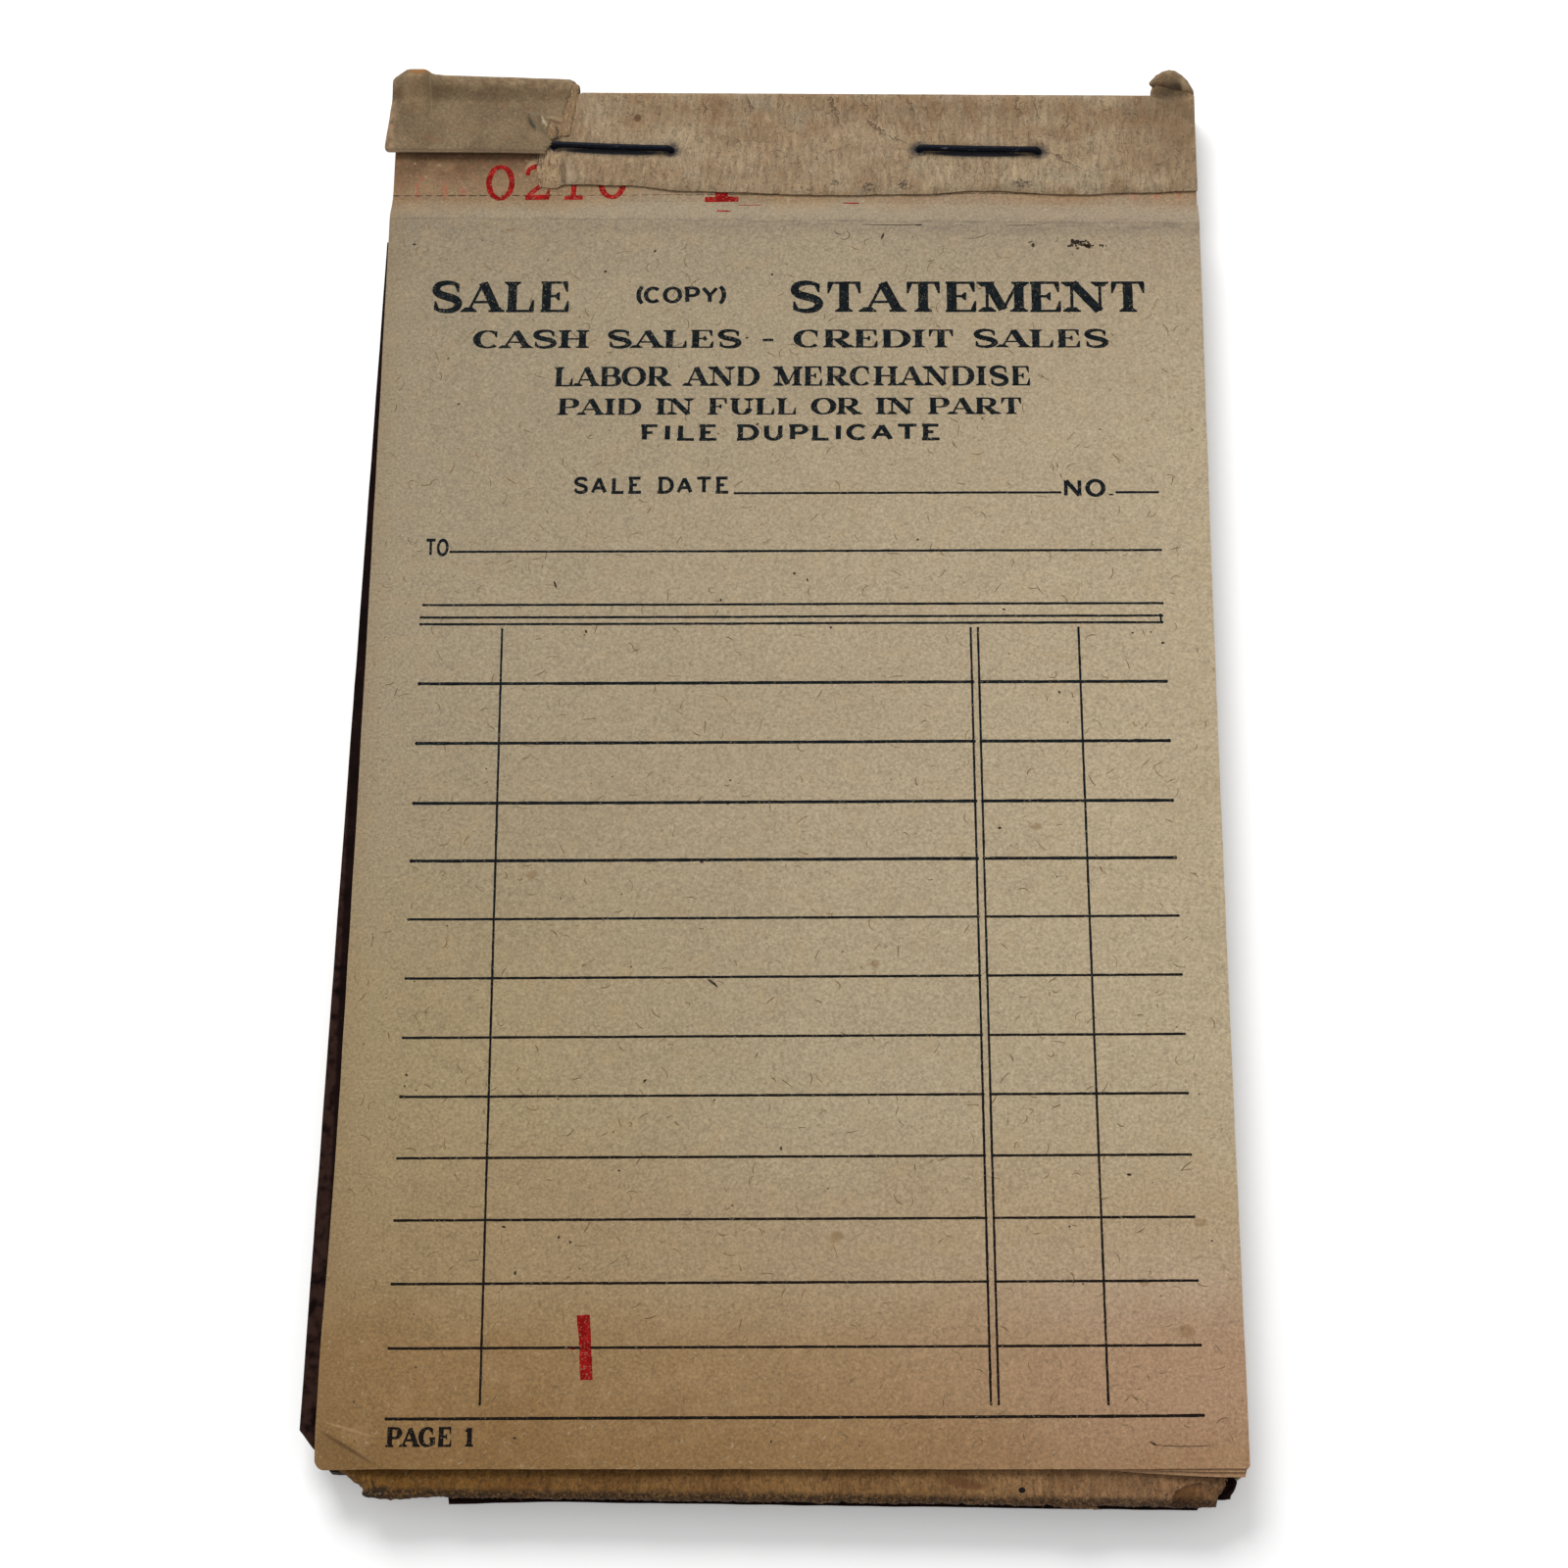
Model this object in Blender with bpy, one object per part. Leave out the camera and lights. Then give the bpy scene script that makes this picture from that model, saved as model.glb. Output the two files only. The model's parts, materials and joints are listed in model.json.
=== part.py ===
"""A pocket receipt pad, bound at the head with two wire staples.

The pad lies face up: +X to its right, +Y towards its bound head, +Z up.
The origin is the middle of the back cover's underside.
"""

import math

import bmesh
import bpy
from mathutils import Matrix, Vector

MM = 0.001

# Leaves
LEAF_WIDTH = 88.9 * MM
LEAF_LENGTH = 154.4 * MM
LEAF_THICKNESS = 0.10 * MM
BLOCK_LEAVES = 16
LEAVES_ON_BOARD = 3
AIR = 0.06 * MM
FOOT_STEP = 0.45 * MM

# The head, with its perforation and strip, is a little out of square with the foot
HEAD_SLANT = math.radians(1.33)
STUB_LENGTH = 13.2 * MM
HINGE_RISE = 0.36 * MM
PERFORATION_GAP = 0.3 * MM
CREASE_RUN = 2.6 * MM

# Back cover
COVER_THICKNESS = 1.1 * MM

# Writing board
BOARD_WIDTH = 84.8 * MM
BOARD_THICKNESS = 0.9 * MM
BOARD_OVERHANG = 3.0 * MM
BOARD_CORNER = 2.4 * MM
BOARD_HEAD_GAP = 2.0 * MM

# The board and the carbon sheet lie askew between the leaves
INSERT_TURN = math.radians(0.75)
BOARD_SHIFT = 0.9 * MM

# Carbon sheet
CARBON_WIDTH = 88.9 * MM
CARBON_THICKNESS = 0.06 * MM
CARBON_OVERHANG = 3.1 * MM
CARBON_SHIFT = 1.25 * MM
CARBON_TORN_RUN = 14.0 * MM
CARBON_TORN_RISE = 5.6 * MM

# Binding strip
STRIP_THICKNESS = 0.35 * MM
BACK_LAP = 9.0 * MM
# How far the torn front lap reaches down from the head fold, by its place across the pad
FRONT_LAPS = (
    (-26.2 * MM, 11.5 * MM),
    (-18.3 * MM, 11.6 * MM),
    (-11.8 * MM, 12.3 * MM),
    (4.4 * MM, 12.7 * MM),
    (14.1 * MM, 12.5 * MM),
    (20.6 * MM, 12.0 * MM),
    (31.4 * MM, 12.4 * MM),
)
FRONT_LAP_RIGHT = 11.8 * MM
HIDDEN_LAP = 7.2 * MM
HIDDEN_STEP = 1.4 * MM

# Remnants of the outer wrap
WRAP_THICKNESS = 0.25 * MM
WRAP_LAP = 7.8 * MM
WRAP_BULGE = 1.9 * MM
WRAP_HEAD_RIGHT = -24.3 * MM
WRAP_FOOT_RIGHT = -27.75 * MM
WRAP_OVERHANG = 0.5 * MM
WRAP_TAIL = 1.4 * MM
CURL_WIDTH = 4.2 * MM
CURL_RISE = 2.2 * MM

# Staples
WIRE_DIAMETER = 0.7 * MM
CROWN_WIDTH = 13.6 * MM
WIRE_BEND = 0.5 * MM
CLINCH_LENGTH = 4.6 * MM
STAPLE_INSET = 6.55 * MM
STAPLE_TILT = math.radians(-3.3)
STAPLE_CENTRES = {"staple_left": -20.1 * MM, "staple_right": 20.5 * MM}
HOLE_CLEARANCE = 0.15 * MM
CLINCH_SINK = 0.05 * MM

# Colours as they look, in sRGB
COLOURS = {
    "leaf": (0.64, 0.56, 0.45),
    "board": (0.44, 0.32, 0.21),
    "carbon": (0.09, 0.06, 0.07),
    "strip": (0.58, 0.49, 0.38),
    "wrap": (0.50, 0.42, 0.32),
    "cover": (0.46, 0.40, 0.33),
    "wire": (0.10, 0.11, 0.14),
}

# Levels, from the underside up
PITCH = LEAF_THICKNESS + AIR
BLOCK_TOP = COVER_THICKNESS + BLOCK_LEAVES * PITCH
CARBON_LEVEL = BLOCK_TOP + AIR
BOARD_LEVEL = CARBON_LEVEL + CARBON_THICKNESS + AIR
BOARD_TOP = BOARD_LEVEL + BOARD_THICKNESS
STUB_TOP = BLOCK_TOP + LEAVES_ON_BOARD * PITCH
STRIP_TOP = STUB_TOP + AIR + STRIP_THICKNESS

# Places along the pad
FOOT_Y = -LEAF_LENGTH / 2
HEAD_Y = LEAF_LENGTH / 2
PERFORATION_Y = HEAD_Y - STUB_LENGTH
SLIP_HEAD_Y = PERFORATION_Y - PERFORATION_GAP / 2
BOARD_HEAD_Y = SLIP_HEAD_Y - CREASE_RUN - BOARD_HEAD_GAP
SPINE_Y = HEAD_Y + AIR + STRIP_THICKNESS
HALF_WIDTH = LEAF_WIDTH / 2
AXIS = Vector((0, PERFORATION_Y, STUB_TOP + HINGE_RISE))


def head_line(x, y=HEAD_Y):
    """The height of a line along the slanted head, at a place across the pad."""
    return y - math.tan(HEAD_SLANT) * x if y > 0 else y


def material(name, roughness=0.9, metallic=0.0):
    """One Principled material of the named colour."""
    colour = [c / 12.92 if c <= 0.04045 else ((c + 0.055) / 1.055) ** 2.4 for c in COLOURS[name]]
    made = bpy.data.materials.new(name)
    made.use_nodes = True
    shader = made.node_tree.nodes["Principled BSDF"]
    shader.inputs["Base Color"].default_value = (*colour, 1)
    shader.inputs["Roughness"].default_value = roughness
    shader.inputs["Metallic"].default_value = metallic
    made.diffuse_color = (*colour, 1)
    return made


def solid(name, outline, sweep, finish, pivot=None, slant=False):
    """A closed solid: a flat outline swept along a straight line."""
    bm = bmesh.new()
    face = bm.faces.new([bm.verts.new(point) for point in outline])
    swept = bmesh.ops.extrude_face_region(bm, geom=[face])
    moved = [item for item in swept["geom"] if isinstance(item, bmesh.types.BMVert)]
    bmesh.ops.translate(bm, verts=moved, vec=sweep)
    if slant:
        for vert in bm.verts:
            vert.co.y = head_line(vert.co.x, vert.co.y)
    bmesh.ops.recalc_face_normals(bm, faces=bm.faces)
    if pivot:
        bmesh.ops.translate(bm, verts=bm.verts, vec=-pivot.location)
    mesh = bpy.data.meshes.new(name)
    bm.to_mesh(mesh)
    bm.free()
    mesh.materials.append(finish)
    piece = bpy.data.objects.new(name, mesh)
    bpy.context.collection.objects.link(piece)
    piece.parent = pivot
    return piece


def sheet(name, outline, level, thickness, finish, pivot=None):
    """A flat sheet of an outline seen from above, standing on a level."""
    points = [(x, y, level) for x, y in outline]
    return solid(name, points, Vector((0, 0, thickness)), finish, pivot)


def band(name, path, thickness, left, right, finish, pivot=None, slant=False):
    """A sheet of even thickness that follows a path seen from the side."""
    sides = ([], [])
    for index, (y, z) in enumerate(path):
        before = Vector(path[max(index - 1, 0)])
        after = Vector(path[min(index + 1, len(path) - 1)])
        here = Vector((y, z))
        normals = [Vector((-d.y, d.x)).normalized() for d in (here - before, after - here) if d.length > 0]
        normal = sum(normals, Vector((0, 0))).normalized()
        reach = thickness / 2 / normal.dot(normals[0])
        for side, sign in zip(sides, (1, -1)):
            side.append(here + sign * reach * normal)
    outline = [(left, p.x, p.y) for p in sides[0] + sides[1][::-1]]
    return solid(name, outline, Vector((right - left, 0, 0)), finish, pivot, slant)


def arc(centre, radius, start, end, steps):
    """Points on an arc, its angles in degrees."""
    angles = [math.radians(start + (end - start) * step / steps) for step in range(steps + 1)]
    return [(centre[0] + radius * math.cos(a), centre[1] + radius * math.sin(a)) for a in angles]


def cutter(name, outline, sweep, slant=False):
    """A solid that only cuts others."""
    guide = solid(name, outline, sweep, material_of["wire"], None, slant)
    guide.hide_render = True
    guide.display_type = "WIRE"
    return guide


def cut(piece, guides):
    """Takes the guides' shapes out of a piece."""
    for guide in guides:
        modifier = piece.modifiers.new(guide.name, "BOOLEAN")
        modifier.operation = "DIFFERENCE"
        modifier.solver = "EXACT"
        modifier.object = guide


def pivot_at(name, place):
    """An empty on a joint's axis, which carries the pieces that move about it."""
    empty = bpy.data.objects.new(name, None)
    empty.empty_display_size = 5 * MM
    empty.location = place
    bpy.context.collection.objects.link(empty)
    return empty


def staple_frame(centre_x):
    """The place and turn of a staple, at the pad's underside."""
    place = Vector((centre_x, head_line(centre_x) - STAPLE_INSET, 0))
    return Matrix.Translation(place) @ Matrix.Rotation(STAPLE_TILT, 4, "Z")


def staple(name, centre_x):
    """One staple, a single wire from clinched leg to clinched leg."""
    half = CROWN_WIDTH / 2
    crown = STRIP_TOP + AIR + WIRE_DIAMETER / 2
    clinch = CLINCH_SINK + WIRE_DIAMETER / 2
    side = [(half - CLINCH_LENGTH, clinch)]
    side += arc((half - WIRE_BEND, clinch + WIRE_BEND), WIRE_BEND, -90, 0, 4)
    side += arc((half - WIRE_BEND, crown - WIRE_BEND), WIRE_BEND, 0, 90, 4)
    wire = [(x, z) for x, z in side] + [(-x, z) for x, z in reversed(side)]
    curve = bpy.data.curves.new(name, "CURVE")
    curve.dimensions = "3D"
    curve.bevel_depth = WIRE_DIAMETER / 2
    curve.bevel_resolution = 2
    curve.use_fill_caps = True
    spline = curve.splines.new("POLY")
    spline.points.add(len(wire) - 1)
    for point, (x, z) in zip(spline.points, wire):
        point.co = (x, 0, z, 1)
    curve.materials.append(material_of["wire"])
    piece = bpy.data.objects.new(name, curve)
    piece.matrix_world = staple_frame(centre_x)
    bpy.context.collection.objects.link(piece)
    return piece


def leg_guides(name, centre_x):
    """What a staple's legs pass through: two round holes, and two grooves for the clinched ends."""
    radius = WIRE_DIAMETER / 2 + HOLE_CLEARANCE
    half = CROWN_WIDTH / 2
    groove_top = CLINCH_SINK + WIRE_DIAMETER + HOLE_CLEARANCE
    top = Vector((0, 0, STRIP_TOP + MM))
    guides = []
    for side in (-1, 1):
        ring = arc((side * half, 0), radius, 22.5, 337.5, 7)
        hole = cutter(f"{name}_hole_{side}", [(x, y, -MM) for x, y in ring], top)
        inner = side * (half - CLINCH_LENGTH - HOLE_CLEARANCE)
        outer = side * (half + radius)
        box = [(inner, -radius, -MM), (outer, -radius, -MM), (outer, radius, -MM), (inner, radius, -MM)]
        groove = cutter(f"{name}_groove_{side}", box, Vector((0, 0, groove_top + MM)))
        for guide in (hole, groove):
            guide.matrix_world = staple_frame(centre_x)
        guides.append((hole, groove))
    holes = [hole for hole, groove in guides]
    grooves = [groove for hole, groove in guides]
    return holes, grooves


def leaf_outline(foot_y, head_y):
    """The outline of a leaf, or of a stretch of it between two heights."""
    corners = [(-HALF_WIDTH, foot_y), (HALF_WIDTH, foot_y), (HALF_WIDTH, head_y), (-HALF_WIDTH, head_y)]
    return [(x, head_line(x, y)) for x, y in corners]


def askew(outline, foot_y, shift):
    """An insert's outline, turned about its middle and moved to the right."""
    middle = Vector((0, (foot_y + BOARD_HEAD_Y) / 2))
    turn = Matrix.Rotation(-INSERT_TURN, 2)
    turned = [turn @ (Vector(point) - middle) + middle for point in outline]
    return [(point.x + shift, point.y) for point in turned]


def make_leaves(holes):
    """Every leaf, numbered from the top, parted at its perforation into a slip and a bound stub."""
    paper = material_of["leaf"]
    turning = pivot_at("perforation_axis", AXIS)
    stub_foot = PERFORATION_Y + PERFORATION_GAP / 2
    for number in range(1, BLOCK_LEAVES + LEAVES_ON_BOARD + 1):
        stub_level = STUB_TOP - number * PITCH + AIR
        stub = sheet(f"stub_{number:02d}", leaf_outline(stub_foot, HEAD_Y), stub_level, LEAF_THICKNESS, paper)
        cut(stub, holes)
        name = f"leaf_{number:02d}"
        if number > LEAVES_ON_BOARD:
            sheet(name, leaf_outline(FOOT_Y, SLIP_HEAD_Y), stub_level, LEAF_THICKNESS, paper, turning)
            continue
        low = stub_level + LEAF_THICKNESS / 2
        high = low + BOARD_TOP - BLOCK_TOP
        foot = FOOT_Y - (number - 1) * FOOT_STEP
        path = [(SLIP_HEAD_Y, low), (SLIP_HEAD_Y - CREASE_RUN, high), (foot, high)]
        band(name, path, LEAF_THICKNESS, -HALF_WIDTH, HALF_WIDTH, paper, turning, slant=True)


def make_board():
    """The loose writing board, its foot corners worn off."""
    half = BOARD_WIDTH / 2
    foot = FOOT_Y - BOARD_OVERHANG
    outline = [
        (-half, foot + BOARD_CORNER),
        (-half + BOARD_CORNER, foot),
        (half - BOARD_CORNER / 2, foot),
        (half, foot + BOARD_CORNER),
        (half, BOARD_HEAD_Y),
        (-half, BOARD_HEAD_Y),
    ]
    placed = askew(outline, foot, BOARD_SHIFT)
    guide = pivot_at("board_slide_axis", (0, BOARD_HEAD_Y, BOARD_LEVEL))
    sheet("writing_board", placed, BOARD_LEVEL, BOARD_THICKNESS, material_of["board"], guide)


def make_carbon():
    """The loose carbon sheet, slipped in askew, with one foot corner torn away."""
    half = CARBON_WIDTH / 2
    foot = FOOT_Y - CARBON_OVERHANG
    outline = [
        (-half, foot + CARBON_TORN_RISE),
        (-half + CARBON_TORN_RUN, foot),
        (half, foot),
        (half, BOARD_HEAD_Y),
        (-half, BOARD_HEAD_Y),
    ]
    placed = askew(outline, foot, -CARBON_SHIFT)
    guide = pivot_at("carbon_slide_axis", (0, BOARD_HEAD_Y, CARBON_LEVEL))
    sheet("carbon_sheet", placed, CARBON_LEVEL, CARBON_THICKNESS, material_of["carbon"], guide)


def make_cover(holes, grooves):
    """The stiff back cover, thinned at the head where the strip laps under it."""
    cover = sheet("back_cover", leaf_outline(FOOT_Y, HEAD_Y), 0, COVER_THICKNESS, material_of["cover"])
    far = HALF_WIDTH + MM
    lap_y = HEAD_Y - BACK_LAP
    outline = [(-far, lap_y, -MM), (far, lap_y, -MM), (far, HEAD_Y + MM, -MM), (-far, HEAD_Y + MM, -MM)]
    depth = STRIP_THICKNESS + AIR + MM
    rebate = cutter("lap_rebate", outline, Vector((0, 0, depth)), slant=True)
    cut(cover, [rebate] + holes + grooves)


def make_strip(holes, grooves):
    """The binding strip: a folded band over the head, its front lap torn to a wavy edge."""
    middle = SPINE_Y - STRIP_THICKNESS / 2
    top = STRIP_TOP - STRIP_THICKNESS / 2
    bottom = STRIP_THICKNESS / 2
    fold = STRIP_THICKNESS / 2 + AIR
    path = [(PERFORATION_Y, top)]
    path += arc((middle - fold, top - fold), fold, 90, 0, 4)
    path += arc((middle - fold, bottom + fold), fold, 0, -90, 4)
    path += [(HEAD_Y - BACK_LAP + AIR, bottom)]
    strip = band("binding_strip", path, STRIP_THICKNESS, -HALF_WIDTH, HALF_WIDTH, material_of["strip"], slant=True)
    far = HALF_WIDTH + MM
    torn = [(-far, SPINE_Y - HIDDEN_LAP), (FRONT_LAPS[0][0] - HIDDEN_STEP, SPINE_Y - HIDDEN_LAP)]
    torn += [(x, SPINE_Y - lap) for x, lap in FRONT_LAPS]
    torn += [(far, SPINE_Y - FRONT_LAP_RIGHT), (far, PERFORATION_Y - 5 * MM), (-far, PERFORATION_Y - 5 * MM)]
    level = STUB_TOP + AIR / 2
    away = cutter("torn_away", [(x, y, level) for x, y in torn], Vector((0, 0, MM)), slant=True)
    cut(strip, [away] + holes + grooves)


def make_wrap_left():
    """The remnant of the outer wrap at the left, still bulging over the head."""
    face = STRIP_TOP + AIR + WRAP_THICKNESS / 2
    out = SPINE_Y + AIR + WRAP_THICKNESS / 2
    bulge = (STRIP_TOP - WRAP_TAIL) / 2
    crest = (out + WRAP_BULGE - bulge, face - bulge)
    path = [(SPINE_Y - WRAP_LAP, face)]
    path += arc(crest, bulge, 90, -20, 6)
    path += [(out, WRAP_TAIL), (out, WRAP_TAIL / 2)]
    left = -HALF_WIDTH - WRAP_OVERHANG
    wrap = band("wrap_left", path, WRAP_THICKNESS, left, WRAP_HEAD_RIGHT, material_of["wrap"], slant=True)
    near = SPINE_Y - WRAP_LAP - MM
    outline = [(WRAP_FOOT_RIGHT, near), (WRAP_HEAD_RIGHT + MM, near), (WRAP_HEAD_RIGHT + MM, SPINE_Y)]
    outline += [(WRAP_HEAD_RIGHT, SPINE_Y), (WRAP_FOOT_RIGHT, SPINE_Y - STAPLE_INSET + MM)]
    points = [(x, y, STRIP_TOP) for x, y in outline]
    cut(wrap, [cutter("wrap_tear", points, Vector((0, 0, 2 * MM)), slant=True)])


def make_wrap_corner():
    """The small remnant at the right corner, its torn end curled up over the head."""
    out = SPINE_Y + AIR + WRAP_THICKNESS / 2
    crest_y = out - WRAP_BULGE / 4
    crest_z = STRIP_TOP + CURL_RISE / 3
    path = [(out, WRAP_TAIL / 2), (out, WRAP_TAIL)]
    path += [(out + WRAP_BULGE * 0.8, crest_z - CURL_RISE)]
    path += arc((crest_y, crest_z), WRAP_BULGE, 0, 140, 6)
    left = HALF_WIDTH - CURL_WIDTH
    band("wrap_corner", path, WRAP_THICKNESS, left, HALF_WIDTH, material_of["wrap"], slant=True)


for leftover in list(bpy.data.objects):
    bpy.data.objects.remove(leftover, do_unlink=True)

material_of = {name: material(name) for name in COLOURS if name != "wire"}
material_of["wire"] = material("wire", roughness=0.5, metallic=0.6)

all_holes = []
all_grooves = []
for staple_name, centre in STAPLE_CENTRES.items():
    staple(staple_name, centre)
    staple_holes, staple_grooves = leg_guides(staple_name, centre)
    all_holes += staple_holes
    all_grooves += staple_grooves

make_cover(all_holes, all_grooves)
make_leaves(all_holes)
make_carbon()
make_board()
make_strip(all_holes, all_grooves)
make_wrap_left()
make_wrap_corner()
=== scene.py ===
"""The looks of a used pocket receipt pad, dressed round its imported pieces.

Places and sizes are in millimetres in the pad's own frame, and each mesh is scaled to metres when it is made.
The pad lies face up, with its bound head towards +Y.
"""

import json
import math
import random
from functools import reduce

import bmesh
import bpy
from mathutils import Matrix, Vector, geometry, noise


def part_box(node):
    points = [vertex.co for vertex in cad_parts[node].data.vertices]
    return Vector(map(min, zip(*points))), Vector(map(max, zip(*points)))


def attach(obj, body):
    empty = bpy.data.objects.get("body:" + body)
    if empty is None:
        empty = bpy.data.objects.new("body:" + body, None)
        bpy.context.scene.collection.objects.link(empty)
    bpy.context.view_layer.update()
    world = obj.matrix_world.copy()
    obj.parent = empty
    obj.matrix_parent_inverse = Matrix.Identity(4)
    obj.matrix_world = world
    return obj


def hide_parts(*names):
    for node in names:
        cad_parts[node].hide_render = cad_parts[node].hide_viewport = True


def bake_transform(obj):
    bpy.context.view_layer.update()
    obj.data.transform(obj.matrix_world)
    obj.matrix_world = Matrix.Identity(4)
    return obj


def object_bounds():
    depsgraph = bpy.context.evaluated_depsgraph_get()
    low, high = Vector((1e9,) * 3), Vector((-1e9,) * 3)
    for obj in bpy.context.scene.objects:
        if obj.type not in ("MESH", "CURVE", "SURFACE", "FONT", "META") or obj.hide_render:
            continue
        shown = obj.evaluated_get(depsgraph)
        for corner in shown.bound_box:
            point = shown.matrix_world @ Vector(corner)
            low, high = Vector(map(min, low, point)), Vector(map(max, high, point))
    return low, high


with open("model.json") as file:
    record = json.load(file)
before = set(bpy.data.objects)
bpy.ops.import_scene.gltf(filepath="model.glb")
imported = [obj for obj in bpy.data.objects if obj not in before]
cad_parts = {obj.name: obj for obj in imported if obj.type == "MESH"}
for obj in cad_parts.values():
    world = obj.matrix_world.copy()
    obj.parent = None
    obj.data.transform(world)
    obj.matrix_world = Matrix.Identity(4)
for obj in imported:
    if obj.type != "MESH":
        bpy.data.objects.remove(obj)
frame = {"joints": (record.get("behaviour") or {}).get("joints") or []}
cad_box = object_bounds()

MM = 0.001


def node_box(node):
    """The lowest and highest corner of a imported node, in mm."""
    low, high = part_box(node)
    return low / MM, high / MM


# The head of the pad, with its perforation and strip, is a little out of square
SLANT = math.tan(math.radians(1.33))

# Levels and edges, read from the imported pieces
STUB_LOW, STUB_HIGH = node_box("stub_01")
SLIP_LOW, SLIP_HIGH = node_box("leaf_01")
BOARD_LOW, BOARD_HIGH = node_box("writing_board")
CARBON_LOW, CARBON_HIGH = node_box("carbon_sheet")
STRIP_HIGH = node_box("binding_strip")[1]
CURL_HIGH = node_box("wrap_corner")[1]
COVER_HIGH = node_box("back_cover")[1]
HALF = STUB_HIGH.x
HEAD = STUB_HIGH.y - SLANT * HALF
PERFORATION = frame["joints"][0]["pos_m"][1] / MM
FOOT = SLIP_LOW.y
SPINE = STRIP_HIGH.y - SLANT * HALF
LEAF = STUB_HIGH.z - STUB_LOW.z
PITCH = STUB_HIGH.z - node_box("stub_02")[1].z
STUB_TOP = STUB_HIGH.z
LEAF_TOP = SLIP_HIGH.z
BLOCK_TOP = node_box("leaf_04")[1].z
STRIP_TOP = STRIP_HIGH.z
WRAP_TOP = STRIP_TOP + 0.31
LEAF_COUNT = 19
ON_BOARD = 3

# How far below the perforation a leaf reaches the level of the board
RAMP = 2.75

# The loose inserts lie askew
INSERT_TURN = math.radians(-0.75)
BOARD_HALF = 42.4
BOARD_FOOT = FOOT - 3.0
BOARD_HEAD = 59.25
BOARD_SHIFT = 0.9
CARBON_FOOT = FOOT - 3.1
CARBON_SHIFT = -1.25


# Small helpers

def smooth(low, high, value):
    """0 below low, 1 above high, and a smooth step between them."""
    share = min(max((value - low) / (high - low), 0.0), 1.0)
    return share * share * (3 - 2 * share)


def hump(value, centre, width):
    """A bell, 1 at its centre."""
    return math.exp(-(((value - centre) / width) ** 2))


def lumps(x, y, size, level=0.0):
    """Smooth noise from about -1 to 1, with lumps of a size in mm."""
    return noise.noise(Vector((x / size, y / size, level)))


def spread(start, end, count):
    """Evenly spaced values from start to end."""
    return [start + (end - start) * i / (count - 1) for i in range(count)]


def aim(degrees):
    """The cosine and the sine of an angle."""
    turn = math.radians(degrees)
    return math.cos(turn), math.sin(turn)


def neighbours(line, index):
    """The entries before and after one of a list. At an end it is its own neighbour."""
    return line[max(index - 1, 0)], line[min(index + 1, len(line) - 1)]


def off_segment(x, y, start, end):
    """The distance from a place to a straight segment, and how far along the segment it is."""
    ax, ay = start
    dx, dy = end[0] - ax, end[1] - ay
    along = min(max(((x - ax) * dx + (y - ay) * dy) / (dx * dx + dy * dy), 0.0), 1.0)
    return math.hypot(x - ax - dx * along, y - ay - dy * along), along


def askew(x, y, shift):
    """A place on a loose insert, turned about the insert's middle and moved across."""
    middle = (BOARD_FOOT + BOARD_HEAD) / 2
    c, s = math.cos(INSERT_TURN), math.sin(INSERT_TURN)
    return x * c - (y - middle) * s + shift, x * s + (y - middle) * c + middle


# Shader maths

def tone(red, green, blue):
    """A colour as it looks, in 0 to 255, made linear."""
    shares = [c / 255 for c in (red, green, blue)]
    return tuple(c / 12.92 if c <= 0.04045 else ((c + 0.055) / 1.055) ** 2.4 for c in shares) + (1.0,)


class Flow:
    """A shader value. Ordinary arithmetic on it adds Math nodes."""

    def __init__(self, finish, socket):
        self.finish = finish
        self.socket = socket

    def math(self, operation, *values):
        return self.finish.node("Math", {"operation": operation}, dict(enumerate(values)))

    def __add__(self, other):
        return self.math("ADD", self, other)

    def __sub__(self, other):
        return self.math("SUBTRACT", self, other)

    def __rsub__(self, other):
        return self.math("SUBTRACT", other, self)

    def __mul__(self, other):
        return self.math("MULTIPLY", self, other)

    def __truediv__(self, other):
        return self.math("DIVIDE", self, other)

    def __pow__(self, other):
        return self.math("POWER", self, other)

    def __abs__(self):
        return self.math("ABSOLUTE", self)

    __radd__ = __add__
    __rmul__ = __mul__

    def most(self, other):
        return self.math("MAXIMUM", self, other)

    def step(self, low, high):
        """A smooth step from 0 at low to 1 at high. It falls where low is above high."""
        sockets = {"Value": self, "From Min": low, "From Max": high, "To Min": 0.0, "To Max": 1.0}
        if low > high:
            sockets.update({"From Min": high, "From Max": low, "To Min": 1.0, "To Max": 0.0})
        return self.finish.node("MapRange", {"interpolation_type": "SMOOTHSTEP"}, sockets)


def most_of(flows):
    """The greatest of several flows."""
    return reduce(Flow.most, flows)


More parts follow.
